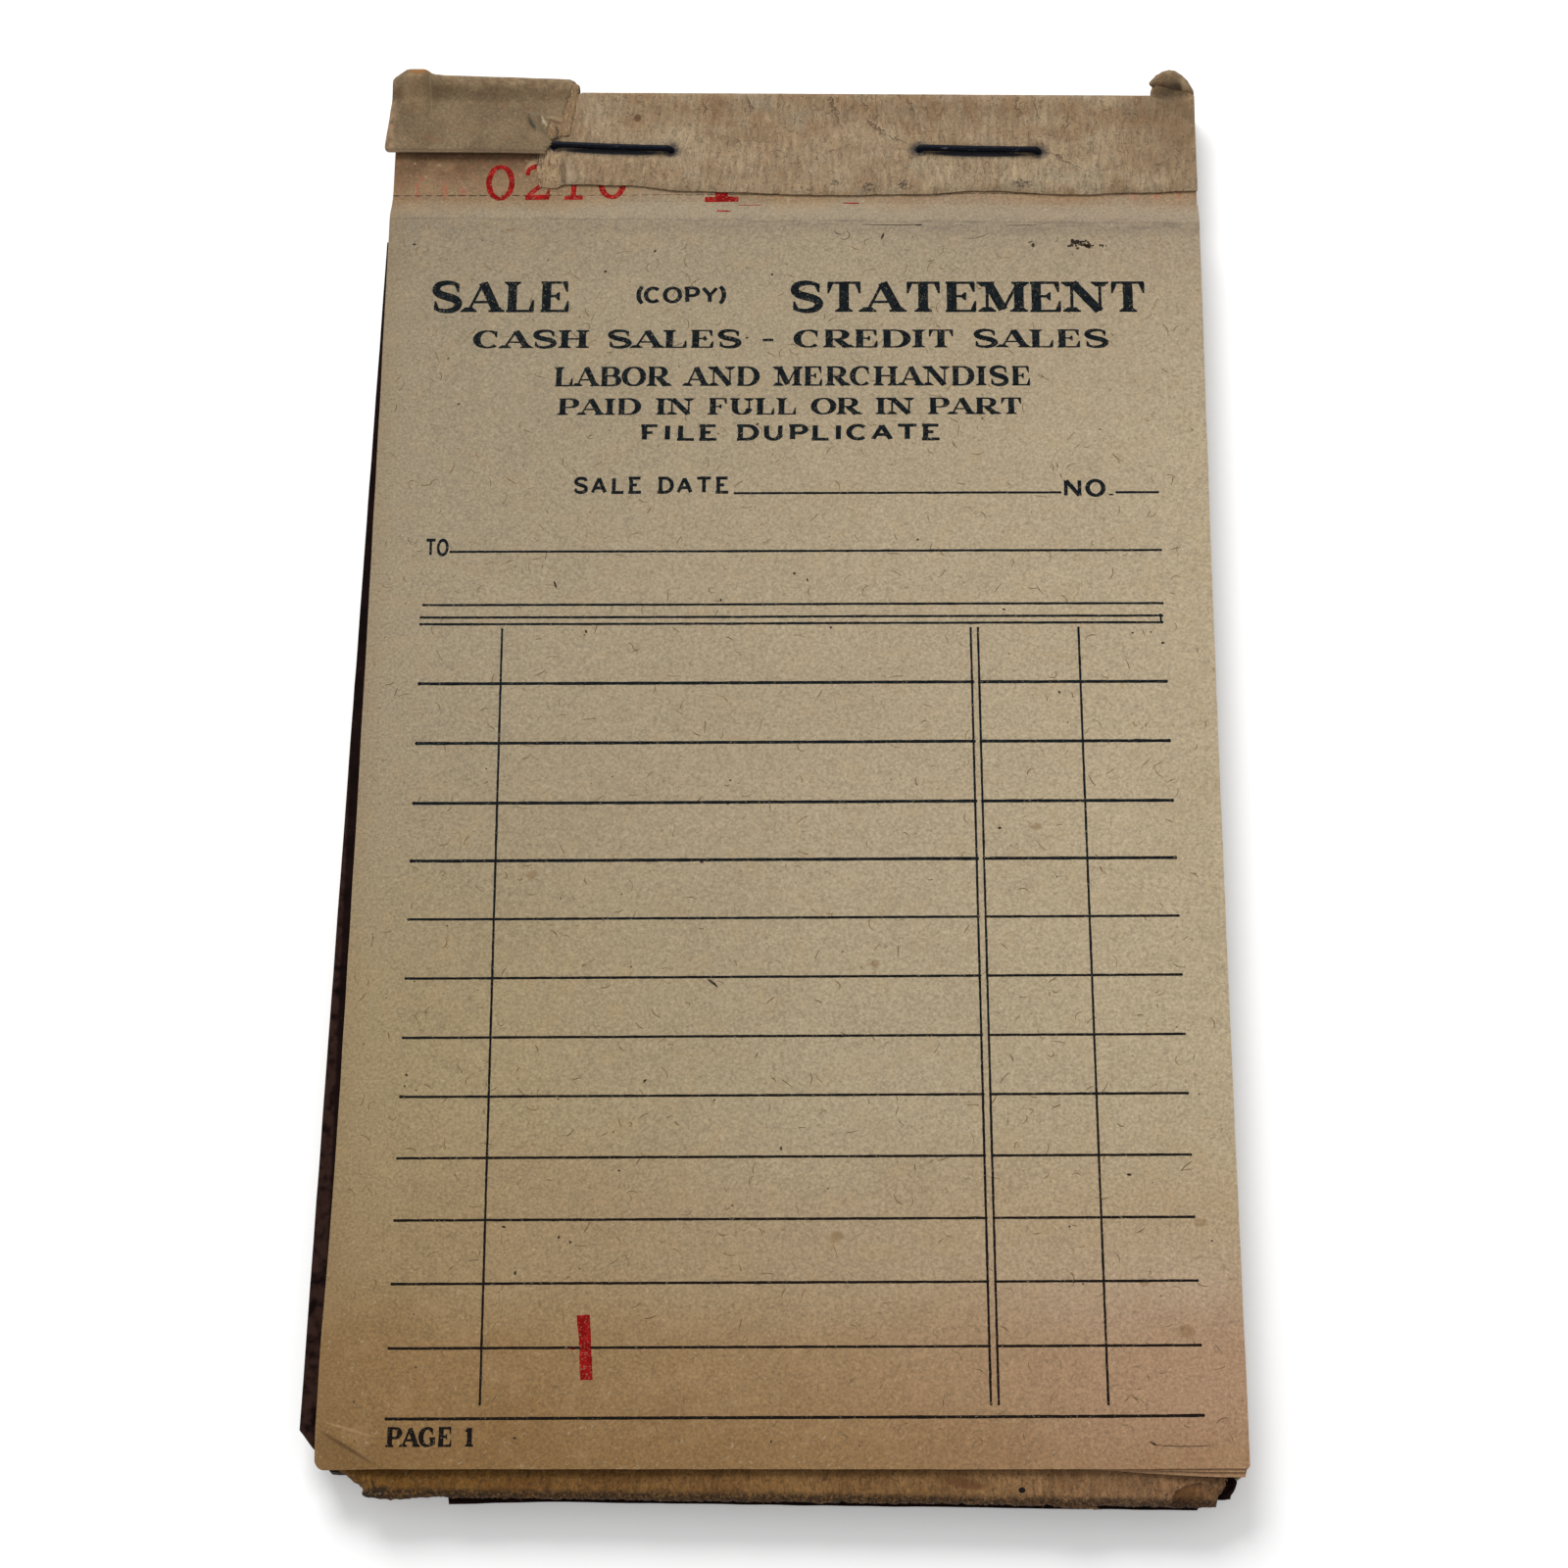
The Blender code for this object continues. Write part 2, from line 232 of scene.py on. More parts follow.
class Finish:
    """A procedural material, with its pattern fixed in mm to the piece as it lies, however it bends."""

    def __init__(self, name, roughness=0.85, specular=0.3, sheen=0.0):
        self.material = bpy.data.materials.new(name)
        self.material.use_nodes = True
        self.tree = self.material.node_tree
        self.shader = self.tree.nodes["Principled BSDF"]
        self.set("Roughness", roughness)
        self.set("Specular IOR Level", specular)
        self.set("Sheen Weight", sheen)
        metres = self.node("Attribute", {"attribute_name": "flat_place"}, {}, "Vector")
        self.place = self.node("VectorMath", {"operation": "SCALE"}, {0: metres, "Scale": 1 / MM})
        self.x, self.y, self.z = (self.node("SeparateXYZ", {}, {0: self.place}, axis) for axis in "XYZ")
        self.wander = 0.0
        self.colour = None

    def set(self, socket, value):
        """A constant, or a flow, into one of the shader's sockets."""
        self.feed(self.shader.inputs[socket], value)

    def feed(self, socket, value):
        if isinstance(value, Flow):
            self.tree.links.new(value.socket, socket)
        else:
            socket.default_value = value

    def node(self, kind, settings, sockets, output=0):
        """Adds a node: its settings first, then the values or links of its sockets."""
        made = self.tree.nodes.new("ShaderNode" + kind)
        for key, value in settings.items():
            if key == "stops":
                ramp = made.color_ramp
                ramp.interpolation = "EASE"
                for position, colour in value[2:]:
                    ramp.elements.new(position)
                for element, (position, colour) in zip(ramp.elements, value):
                    element.position = position
                    element.color = colour
            else:
                setattr(made, key, value)
        for key, value in sockets.items():
            self.feed(made.inputs[key], value)
        return Flow(self, made.outputs[output])

    def stretched(self, x=1.0, y=1.0, z=1.0):
        """The place with its axes scaled, so that a pattern runs longer along some of them."""
        return self.node("VectorMath", {"operation": "MULTIPLY"}, {0: self.place, 1: (x, y, z)})

    def shifted(self, x=0.0, y=0.0, z=0.0):
        """The place moved, so that one pattern can be used twice."""
        return self.node("VectorMath", {"operation": "ADD"}, {0: self.place, 1: (x, y, z)})

    def cloud(self, size, detail=2.0, rough=0.5, place=None, swirl=0.0):
        """Noise from 0 to 1, with lumps of a size in mm."""
        settings = {"noise_dimensions": "3D", "normalize": True}
        sockets = {"Vector": place or self.place, "Scale": 1 / size, "Detail": detail}
        sockets.update({"Roughness": rough, "Distortion": swirl})
        return self.node("TexNoise", settings, sockets, "Fac")

    def mix(self, share, first, second, blend="MIX"):
        """Two colours, mixed by a share."""
        settings = {"data_type": "RGBA", "blend_type": blend, "clamp_factor": True}
        return self.node("Mix", settings, {0: share, 6: first, 7: second}, 2)

    def lighten(self, colour, amount):
        """A colour made lighter where amount is above 1, and darker below."""
        return self.node("VectorMath", {"operation": "SCALE"}, {0: colour, "Scale": amount})

    def tint(self, share, *shade):
        """Mixes a colour, given as it looks in 0 to 255, into the finish by a share."""
        self.colour = self.mix(share, self.colour, tone(*shade))

    def strands(self, size, width, share, place=None):
        """Short curved hairs: thin contour lines of one noise, kept where a second one is high."""
        lines = abs(self.cloud(size, 1.0, 0.5, place, 0.4) - 0.5).step(width, 0.0)
        kept = self.cloud(size * 0.6, 0.0, 0.5, self.shifted(z=71.0)).step(1 - share, 1 - share + 0.06)
        return lines * kept

    def patch(self, x, y, wide, tall, turn=0.0, soft=1.0):
        """A soft oval patch, 1 at its centre and 0 at its rim."""
        c, s = aim(turn)
        dx, dy = self.x + self.wander - x, self.y + self.wander - y
        along = (dx * c + dy * s) / wide
        across = (dy * c - dx * s) / tall
        return (along * along + across * across).step(1.0, 1.0 - soft)

    def scratch(self, start, end, width):
        """A thin straight mark."""
        dx, dy = end[0] - start[0], end[1] - start[1]
        length = math.hypot(dx, dy)
        middle = ((start[0] + end[0]) / 2, (start[1] + end[1]) / 2)
        turn = math.degrees(math.atan2(dy, dx))
        return self.patch(*middle, length / 2 + width, width, turn, 1.0)

    def done(self, height, depth, strength=1.0):
        """The material in its colour, with fine relief in mm."""
        self.set("Base Color", self.colour)
        sockets = {"Height": height, "Distance": depth * MM, "Strength": strength}
        self.set("Normal", self.node("Bump", {}, sockets))
        return self.material


def paper_grain(finish, base, mottle=0.06, hair=0.45, grain=1.25):
    """Cheap pulp paper: cloudy tone, fine grain, and dark and pale hairs."""
    cloudy = finish.cloud(7.0, 3.0, 0.6) * 0.5 + finish.cloud(1.6, 3.0, 0.65) * 0.5
    fine = finish.cloud(0.30, 2.0, 0.7)
    level = 1 + (cloudy - 0.5) * mottle * 4 + (fine - 0.5) * grain
    finish.colour = finish.lighten(base, level)
    warm = finish.cloud(2.6, 2.0, 0.5, finish.shifted(z=33.0)).step(0.52, 0.70)
    finish.tint(warm * 0.16, 178, 148, 108)
    dark = finish.strands(0.9, 0.02, 0.46)
    pale = finish.strands(0.8, 0.02, 0.44, finish.shifted(x=19.0, y=7.0))
    finish.tint(dark * hair, 112, 92, 66)
    finish.tint(pale * hair * 0.7, 205, 190, 160)
    height = fine * 0.6 + finish.cloud(0.7, 2.0, 0.6) * 0.5 + dark * 0.25
    return height


# The leaf's colour at places along the pad, which are at most a span from its middle. The last stop darkens
# the stub towards the left remnant's foot: painted shade under the remnant.
STOP_SPAN = 80
LEAF_SHADES = [
    (-77, 140, 109, 71), (-68, 151, 122, 86), (-56, 162, 141, 111), (-38, 167, 151, 123), (8, 167, 151, 124),
    (48, 161, 146, 120), (62, 152, 137, 113), (66, 144, 119, 88), (69.5, 110, 84, 57),
]
# Red ghosts at the stub's ends: place and height
GHOSTS = [(-41.7, 66.2, 1.7), (-38.6, 66.2, 1.5), (-36.6, 66.0, 0.9), (-41.2, 67.8, 0.5),
          (37.6, 64.4, 0.8), (40.0, 64.4, 0.9), (42.4, 64.4, 0.7)]
# Brown stains on the form: place, half width, half height and turn
STAINS = [
    (25.4, -11.2, 0.7, 0.5, 0), (-25.9, -16.1, 0.75, 0.55, 20), (9.0, -26.0, 0.6, 0.5, 0),
    (5.2, -54.3, 0.8, 0.7, 30), (-9.4, -72.4, 0.6, 0.5, 0), (38.9, -63.8, 1.0, 0.8, 0),
    (40.6, -53.0, 0.8, 0.6, 0), (-31.0, 60.3, 0.7, 0.25, 0), (35.0, -59.0, 0.6, 0.5, 0),
]


def mark_top_leaf(finish, head_line, crease):
    """What only the top leaf shows: red traces at its head, stains, and a creased foot corner with painted
    shade in its crease.
    """
    pink = head_line.step(63.4, 65.0) * finish.cloud(0.9, 3.0, 0.7).step(0.40, 0.62)
    finish.tint(pink * 0.13, 176, 108, 88)
    finish.tint(finish.patch(-29.0, 69.3, 0.7, 1.3, -35, 0.9) * 0.6, 176, 150, 116)
    ghosts = most_of(finish.patch(x, y, 0.34, tall, 4.0) for x, y, tall in GHOSTS)
    finish.tint(ghosts * finish.cloud(0.5, 2.0, 0.7).step(0.30, 0.56) * 0.45, 168, 70, 54)
    for x, y, wide, tall, turn in STAINS:
        finish.tint(finish.patch(x, y, wide, tall, turn, 0.8) * 0.45, 126, 92, 54)
    # Painted shade along the dog-ear's crease
    finish.tint(crease * 0.75, 84, 58, 34)
    finish.tint(finish.scratch((-44.6, -72.4), (-38.6, -74.2), 0.2) * 0.35, 184, 150, 108)


def make_leaf_paper(name, marked):
    """A printed leaf: buff, browner at the foot and left, greyer at the head, and lighter to the right,
    partly as painted light. The top one is marked.
    """
    finish = Finish(name, 0.88, 0.25, 0.05)
    stops = [((y + STOP_SPAN) / (2 * STOP_SPAN), tone(*shade)) for y, *shade in LEAF_SHADES]
    along = (finish.y + finish.cloud(14.0, 2.0) * 9 - 4.5 + STOP_SPAN) / (2 * STOP_SPAN)
    base = finish.node("ValToRGB", {"stops": stops}, {"Fac": along}, "Color")
    # Lighter towards the right, with random tone on top: partly paper tone, partly painted light where the
    # light falls brighter on the right
    across = 1.0 + finish.x * (0.17 / HALF) + (finish.cloud(22.0, 2.0) - 0.5) * 0.10
    base = finish.lighten(base, across)
    browner = finish.x.step(10.0, -HALF) * finish.y.step(5.0, -40.0)
    base = finish.mix(browner * 0.8, base, (1.0, 0.93, 0.74, 1.0), "MULTIPLY")
    right = finish.x.step(-5.0, HALF)
    base = finish.mix(right * finish.y.step(34.0, 58.0), base, (0.90, 0.88, 0.89, 1.0), "MULTIPLY")
    # The foot's right corner is painted lighter and bluer: painted light
    painted_light_foot_right = right * finish.y.step(-50.0, -70.0)
    base = finish.lighten(base, 1 + painted_light_foot_right * 0.12)
    base = finish.mix(painted_light_foot_right, base, (0.99, 0.98, 1.25, 1.0), "MULTIPLY")
    height = paper_grain(finish, base)
    rim = finish.x.step(-HALF + 3.0, -HALF)
    finish.tint(rim * 0.2, 130, 100, 64)
    head_line = finish.y + finish.x * SLANT
    streaky = finish.cloud(1.2, 3.0, 0.7, finish.stretched(0.3, 1.6, 1.0))
    # Darker streaks along the bend below the perforation, stronger to the right
    bend_streaks = abs(head_line - 60.6).step(1.5, 0.0) * streaky.step(0.46, 0.66) * finish.x.step(-20.0, 10.0)
    band = head_line.step(58.8, 60.4) * head_line.step(64.2, 62.6)
    band = band * (0.06 + finish.x.step(-30.0, 20.0) * 0.10)
    finish.tint(band, 112, 102, 96)
    # A darker line along the crease below the perforation: painted shade in the crease
    fold = abs(head_line - 61.0 + (finish.cloud(6.0) - 0.5) * 0.6).step(0.16, 0.0) * streaky.step(0.34, 0.52)
    finish.tint(fold * 0.35, 96, 86, 76)
    finish.tint(bend_streaks * 0.30, 78, 70, 66)
    crease = finish.scratch((-44.9, -73.1), (-38.4, -77.0), 0.26)
    if marked:
        mark_top_leaf(finish, head_line, crease)
    return finish.done(height + crease * 0.5, 0.045, 0.55)


def make_plain_paper():
    """The leaves under the top one, seen mostly by their edges, with painted shade towards their foot."""
    finish = Finish("leaf_paper_plain", 0.9, 0.2)
    layer = finish.cloud(1.0, 1.0, 0.5, finish.stretched(0.03, 0.03, 7.0))
    base = finish.mix(layer.step(0.3, 0.7), tone(150, 131, 101), tone(184, 167, 136))
    height = paper_grain(finish, base, 0.05, 0.25)
    # Darker towards the foot: painted shade on the shaded foot edges. The next line darkens the worn
    # foot-left corner to near black.
    finish.tint(finish.y.step(-66.0, -76.0) * 0.7, 104, 78, 50)
    finish.tint(finish.patch(-42.6, -77.0, 3.6, 3.0, 0, 0.4) * 0.9, 40, 27, 19)
    return finish.done(height, 0.03, 0.5)


# The strip's wrinkles: start, end, depth and half width. A ridge has a depth below 0.
WRINKLES = [
    ((3.9, 77.2), (4.6, 75.2), 0.12, 0.3), ((4.6, 75.4), (5.5, 73.2), 0.09, 0.25),
    ((8, 74.6), (10.4, 72.4), 0.12, 0.28), ((10.2, 72.4), (13, 71.1), 0.1, 0.22),
    ((27.9, 70.6), (31.9, 67.3), 0.1, 0.26), ((-4.6, 75.4), (-5.2, 77.4), 0.12, 0.3),
    ((-10.4, 76.9), (-9.6, 75.2), 0.06, 0.4), ((7.2, 77), (8.2, 75), 0.07, 0.3),
    ((24.6, 76.8), (25.2, 74.2), 0.08, 0.3), ((26.6, 76.6), (27.4, 73.6), 0.06, 0.3),
    ((12.6, 76.9), (13.5, 74.2), 0.07, 0.35), ((-6.4, 72.6), (-5.6, 69.8), 0.05, 0.35),
    ((30.5, 75.4), (30.1, 72), 0.05, 0.3), ((33.6, 74.2), (32.9, 70.4), 0.05, 0.3),
    ((0.4, 70.4), (1, 67.6), 0.05, 0.3), ((2, 76.8), (3.4, 73), -0.1, 0.5),
    ((6.6, 76), (9.8, 72.6), -0.1, 0.5),
    ((-3, 73.5), (-2, 66.5), -0.06, 0.8), ((-7.2, 75), (-6.2, 67), -0.06, 0.5),
    ((23.6, 77), (24.2, 73), -0.06, 0.4), ((36, 76), (38, 68), -0.05, 1),
]
# Grit along the strip's torn foot edge: place, half width and half height
GRIT = [(8.4, 65.7, 1.0, 0.8), (12.2, 65.9, 1.0, 0.8), (4.6, 66.3, 0.6, 0.5), (25.4, 65.9, 1.6, 0.7)]


def make_strip_paper():
    """The strip's rough inner ply: fibrous, streaked down the pad and stained, with painted shade and
    highlights along its wrinkles, painted shadow under the staples' crowns and painted light on the paper
    inside the curl.
    """
    finish = Finish("binding_paper_rough", 0.9, 0.2, 0.1)
    streaks = finish.cloud(0.55, 3.0, 0.65, finish.stretched(1.0, 0.24, 0.24), 0.5)
    cloudy = finish.cloud(5.0, 3.0, 0.6)
    fine = finish.cloud(0.26, 2.0, 0.7)
    base = finish.mix(cloudy.step(0.32, 0.68), tone(143, 119, 91), tone(158, 138, 110))
    level = 1 + (streaks - 0.5) * 1.5 + (fine - 0.5) * 0.9
    finish.colour = finish.lighten(base, level)
    brown = finish.cloud(2.4, 3.0, 0.6, finish.shifted(x=5.0)).step(0.52, 0.70)
    finish.tint(brown * 0.22, 126, 92, 60)
    grey = finish.cloud(3.2, 2.0, 0.5, finish.shifted(y=9.0)).step(0.55, 0.70)
    finish.tint(grey * 0.16, 144, 140, 126)
    dark = finish.strands(0.9, 0.02, 0.5, finish.stretched(1.0, 0.45, 1.0))
    pale = finish.strands(0.8, 0.02, 0.5, finish.stretched(1.2, 0.4, 1.0))
    finish.tint(dark * 0.35, 92, 70, 48)
    finish.tint(pale * 0.45, 196, 176, 144)
    straight = finish.y + finish.x * SLANT
    corner = finish.x.step(34.0, 43.0) * straight.step(66.0, 74.0) * 0.5
    finish.tint(corner, 110, 86, 60)
    warm_head = straight.step(70.5, 76.5) * finish.cloud(3.0, 2.0).step(0.35, 0.6) * 0.4
    finish.tint(warm_head, 132, 98, 66)
    wispy = finish.cloud(0.5, 3.0, 0.75, finish.stretched(1.6, 0.3, 1.0))
    torn = finish.x.step(-25.4, -26.2) * straight.step(70.9, 70.2) * wispy.step(0.36, 0.58)
    finish.tint(torn * 0.8, 176, 146, 112)
    rust = finish.x.step(-25.4, -26.6) * straight.step(70.9, 70.2) * wispy.step(0.46, 0.34)
    finish.tint(rust * 0.7, 118, 80, 52)
    shade = finish.patch(-25.5, 68.2, 0.45, 2.2, 6, 0.9)
    finish.tint(shade * 0.6, 84, 62, 42)
    # Much lighter where the paper inside the curl rises off the strip: painted light against the shade of a
    # face turned from the lamp
    web_painted_light = finish.x.step(39.5, 39.9) * finish.z.step(STRIP_TOP + 0.46, STRIP_TOP + 0.70)
    finish.tint(web_painted_light * 0.9, 242, 204, 158)
    finish.tint(finish.patch(-17.4, 75.0, 0.5, 0.55, 0, 0.5) * 0.75, 84, 58, 30)
    sepia = finish.patch(-8.0, 74.4, 3.2, 3.6, 10, 1.0) * finish.cloud(1.2, 3.0, 0.6).step(0.36, 0.64)
    finish.tint(sepia * 0.45, 116, 88, 56)
    gritty = finish.cloud(0.35, 2.0, 0.7).step(0.44, 0.58)
    for x, y, wide, tall in GRIT:
        finish.tint(finish.patch(x, y, wide, tall, 0, 0.9) * gritty * 0.8, 56, 48, 38)
    # Each wrinkle gets a painted shade line and, beside it, a painted highlight; the shade lines also deepen
    # the relief
    wrinkle_shade_lines = []
    finish.wander = (finish.cloud(0.9, 2.0, 0.6) - 0.5) * 1.6
    for start, end, depth, width in WRINKLES:
        if depth > 0:
            wrinkle_shade_lines.append(finish.scratch(start, end, width * 0.55) * min(1.0, depth * 8))
            beside = [(x + width * 0.9, y + width * 0.3) for x, y in (start, end)]
            finish.tint(finish.scratch(*beside, width * 0.8) * 0.30, 184, 162, 130)
    wrinkle_shade_lines = most_of(wrinkle_shade_lines)
    finish.tint(wrinkle_shade_lines * 0.65, 92, 66, 42)
    finish.wander = 0.0
    finish.tint(stain_and_shadow_round_staples(finish), 20, 28, 42)
    height = streaks * 0.9 + fine * 0.35 + dark * 0.3 - wrinkle_shade_lines * 0.8
    return finish.done(height, 0.22, 1.0)


# Each staple's place across and its turn in degrees
STAPLES = {
    "staple_left": (-20.1, -3.3),
    "staple_right": (20.5, -2.1),
}
# How far the crowns lie below the head, half their length, and the wire's radius
STAPLE_INSET = 6.55
CROWN_HALF = 6.6
WIRE = 0.35
# The clinched ends' length, and how deep they press into the back
CLINCH_RUN = 4.6
CLINCH_PRESS = 0.44


def staple_centre(centre_x):
    """Where a staple's crown has its middle, seen from above."""
    return centre_x, HEAD - SLANT * centre_x - STAPLE_INSET


def along_staple(staple, share):
    """A place on a staple's line, from -1 at its left end to 1 at its right."""
    x, y = staple_centre(staple[0])
    c, s = aim(staple[1])
    return x + share * CROWN_HALF * c, y + share * CROWN_HALF * s


def stain_and_shadow_round_staples(finish):
    """Blue-black corrosion that has crept into the paper round the staples, most at their ends, with painted
    shadow just below each crown.
    """
    parts = []
    ragged = finish.cloud(0.5, 3.0, 0.7).step(0.26, 0.60)
    for staple in STAPLES.values():
        x, y = staple_centre(staple[0])
        # A ragged halo set a little below each crown is corrosion with painted shadow; the firm band just
        # under it is painted shadow of the wire
        parts.append(finish.patch(x, y - 0.15, CROWN_HALF + 0.9, 1.2, staple[1], 1.0) * ragged * 0.6)
        parts.append(finish.patch(x, y - 0.42, CROWN_HALF - 0.1, 0.46, staple[1], 0.6) * 0.95)
        for share in (-1.0, 1.0):
            px, py = along_staple(staple, share)
            parts.append(finish.patch(px, py, 1.5, 1.3, 0, 1.0) * ragged * 0.9)
            parts.append(finish.patch(px, py, 0.8, 0.6, 0, 0.6) * 0.9)
    return most_of(parts)


# Scars round the dent in the left remnant, and painted shade in the dent, under the torn flap's edge and in
# its crevice: start, end, half width, strength and colour
WRAP_SCARS_AND_SHADE = [
    ((-29.5, 75.2), (-28.8, 73.6), 0.42, 0.95, (52, 46, 32)),
    ((-28.6, 74.3), (-27.6, 72.9), 0.50, 0.55, (84, 72, 50)),
    ((-29.2, 74.9), (-28.2, 73.6), 0.35, 0.45, (118, 104, 78)),
    ((-30.0, 75.9), (-28.4, 75.6), 0.35, 0.35, (134, 130, 112)),
    ((-28.1, 75.3), (-27.5, 73.9), 0.24, 0.70, (186, 170, 138)),
    ((-27.6, 75.1), (-25.5, 74.7), 0.28, 0.55, (170, 146, 112)),
    ((-27.4, 74.7), (-25.6, 74.3), 0.22, 0.55, (78, 54, 36)),
    ((-26.4, 74.2), (-26.2, 72.5), 0.20, 0.90, (62, 40, 26)),
    ((-27.0, 74.0), (-26.9, 72.9), 0.14, 0.50, (96, 70, 46)),
    ((-31.5, 78.6), (-29.6, 75.9), 0.30, 0.30, (84, 68, 46)),
    ((-31.0, 73.0), (-28.2, 71.4), 0.40, 0.25, (92, 74, 50)),
]


def make_wrap_paper():
    """The smoother, darker outer wrap: bruised, worn pale on its ridges, torn to a pale ply, and with painted
    light and shade on its ridges, slopes, fold, dent and curl.
    """
    finish = Finish("wrap_paper_worn", 0.8, 0.3, 0.05)
    cloudy = finish.cloud(3.6, 3.0, 0.6)
    fine = finish.cloud(0.30, 3.0, 0.75)
    base = finish.mix(cloudy.step(0.3, 0.7), tone(107, 87, 62), tone(124, 104, 76))
    straight = finish.y + finish.x * SLANT
    # Lighter on the slope up to the roll over the head: painted light against the shade of a slope turned
    # from the lamp
    painted_slope_light = finish.patch(-41.9, 77.9, 2.3, 2.7, 0, 1.0) * 0.50 + straight.step(75.6, 77.6) * 0.08
    finish.colour = finish.lighten(base, 1 + (fine - 0.5) * 1.9 + painted_slope_light)
    brown = finish.cloud(1.8, 2.0, 0.5, finish.shifted(x=3.0)).step(0.54, 0.70)
    finish.tint(brown * 0.4, 116, 84, 52)
    scuffs = finish.strands(0.7, 0.02, 0.45)
    finish.tint(scuffs * 0.35, 160, 142, 112)
    creases = finish.strands(1.1, 0.02, 0.44, finish.stretched(1.0, 0.6, 1.0))
    finish.tint(creases * 0.35, 82, 62, 40)
    # Paler on the ridge over the head: wear, and a painted highlight where the light falls on the ridge
    ridge = finish.z.step(WRAP_TOP - 0.5, WRAP_TOP + 0.6) * straight.step(77.0, 78.6)
    worn = ridge * finish.cloud(0.9, 3.0, 0.7).step(0.46, 0.62)
    finish.tint(worn * 0.25, 176, 150, 112)
    # An orange-brown band at the top of the roll over the head: painted shadow of the fold
    bump_fold_shade = finish.patch(-41.8, 80.2, 1.3, 0.75, 0, 0.4)
    finish.tint(bump_fold_shade * finish.cloud(0.8, 2.0).step(0.25, 0.45) * 0.85, 142, 96, 44)
    left = finish.x.step(-44.1, -44.9) * finish.cloud(0.8, 2.0).step(0.35, 0.6)
    finish.tint(left * 0.5, 172, 140, 108)
    ragged = finish.cloud(0.7, 3.0, 0.7) - 0.5
    start = straight * 0.264 - 45.48 - straight.step(74.5, 74.2) * 1.1 + ragged
    tear = (finish.x - start).step(-0.06, 0.06) * straight.step(71.9, 72.3) * finish.x.step(-20.0, -22.0)
    wispy = finish.cloud(0.45, 3.0, 0.75, finish.stretched(1.5, 0.6, 1.0))
    finish.tint(tear * 0.85, 138, 110, 78)
    finish.tint(tear * wispy.step(0.42, 0.32), 78, 54, 34)
    finish.tint(tear * wispy.step(0.56, 0.66), 176, 152, 118)
    rim = abs(finish.x - start).step(0.14, 0.0) * straight.step(71.9, 72.3) * finish.x.step(-20.0, -22.0)
    finish.tint(rim * 0.6, 70, 48, 30)
    finish.wander = ragged * 0.6
    # Scars, and painted shade in the dent, under the flap and in the crevice
    for start, end, width, deep, shade in WRAP_SCARS_AND_SHADE:
        finish.tint(finish.scratch(start, end, width) * deep, *shade)
    finish.wander = 0.0
    # Darker under the curl's lip: painted shade
    hollow_shade = finish.patch(42.0, 77.1, 2.0, 0.7, -14, 0.7) * finish.z.step(4.9, 5.5) * finish.z.step(6.7, 6.1)
    finish.tint(hollow_shade * 0.7, 50, 28, 24)
    # Paler on the curl's right side: painted highlight
    flank_highlight = finish.patch(43.5, 77.2, 1.3, 0.5, -62, 0.9) * finish.z.step(4.9, 5.3)
    finish.tint(flank_highlight * 0.5, 196, 168, 128)
    crease = finish.scratch((-40.6, 80.6), (-40.5, 75.6), 0.2)
    finish.tint(crease * 0.35, 166, 146, 116)
    lip = abs(straight - 70.15 + (finish.cloud(4.0) - 0.5) * 0.3).step(0.13, 0.0)
    finish.tint(straight.step(70.6, 69.9) * 0.3 + lip * 0.35, 78, 56, 42)
    height = fine * 0.4 + cloudy * 0.5 + scuffs * 0.2 + tear * wispy * 2.0 - rim * 0.8 - crease * 0.5
    return finish.done(height, 0.08, 0.6)


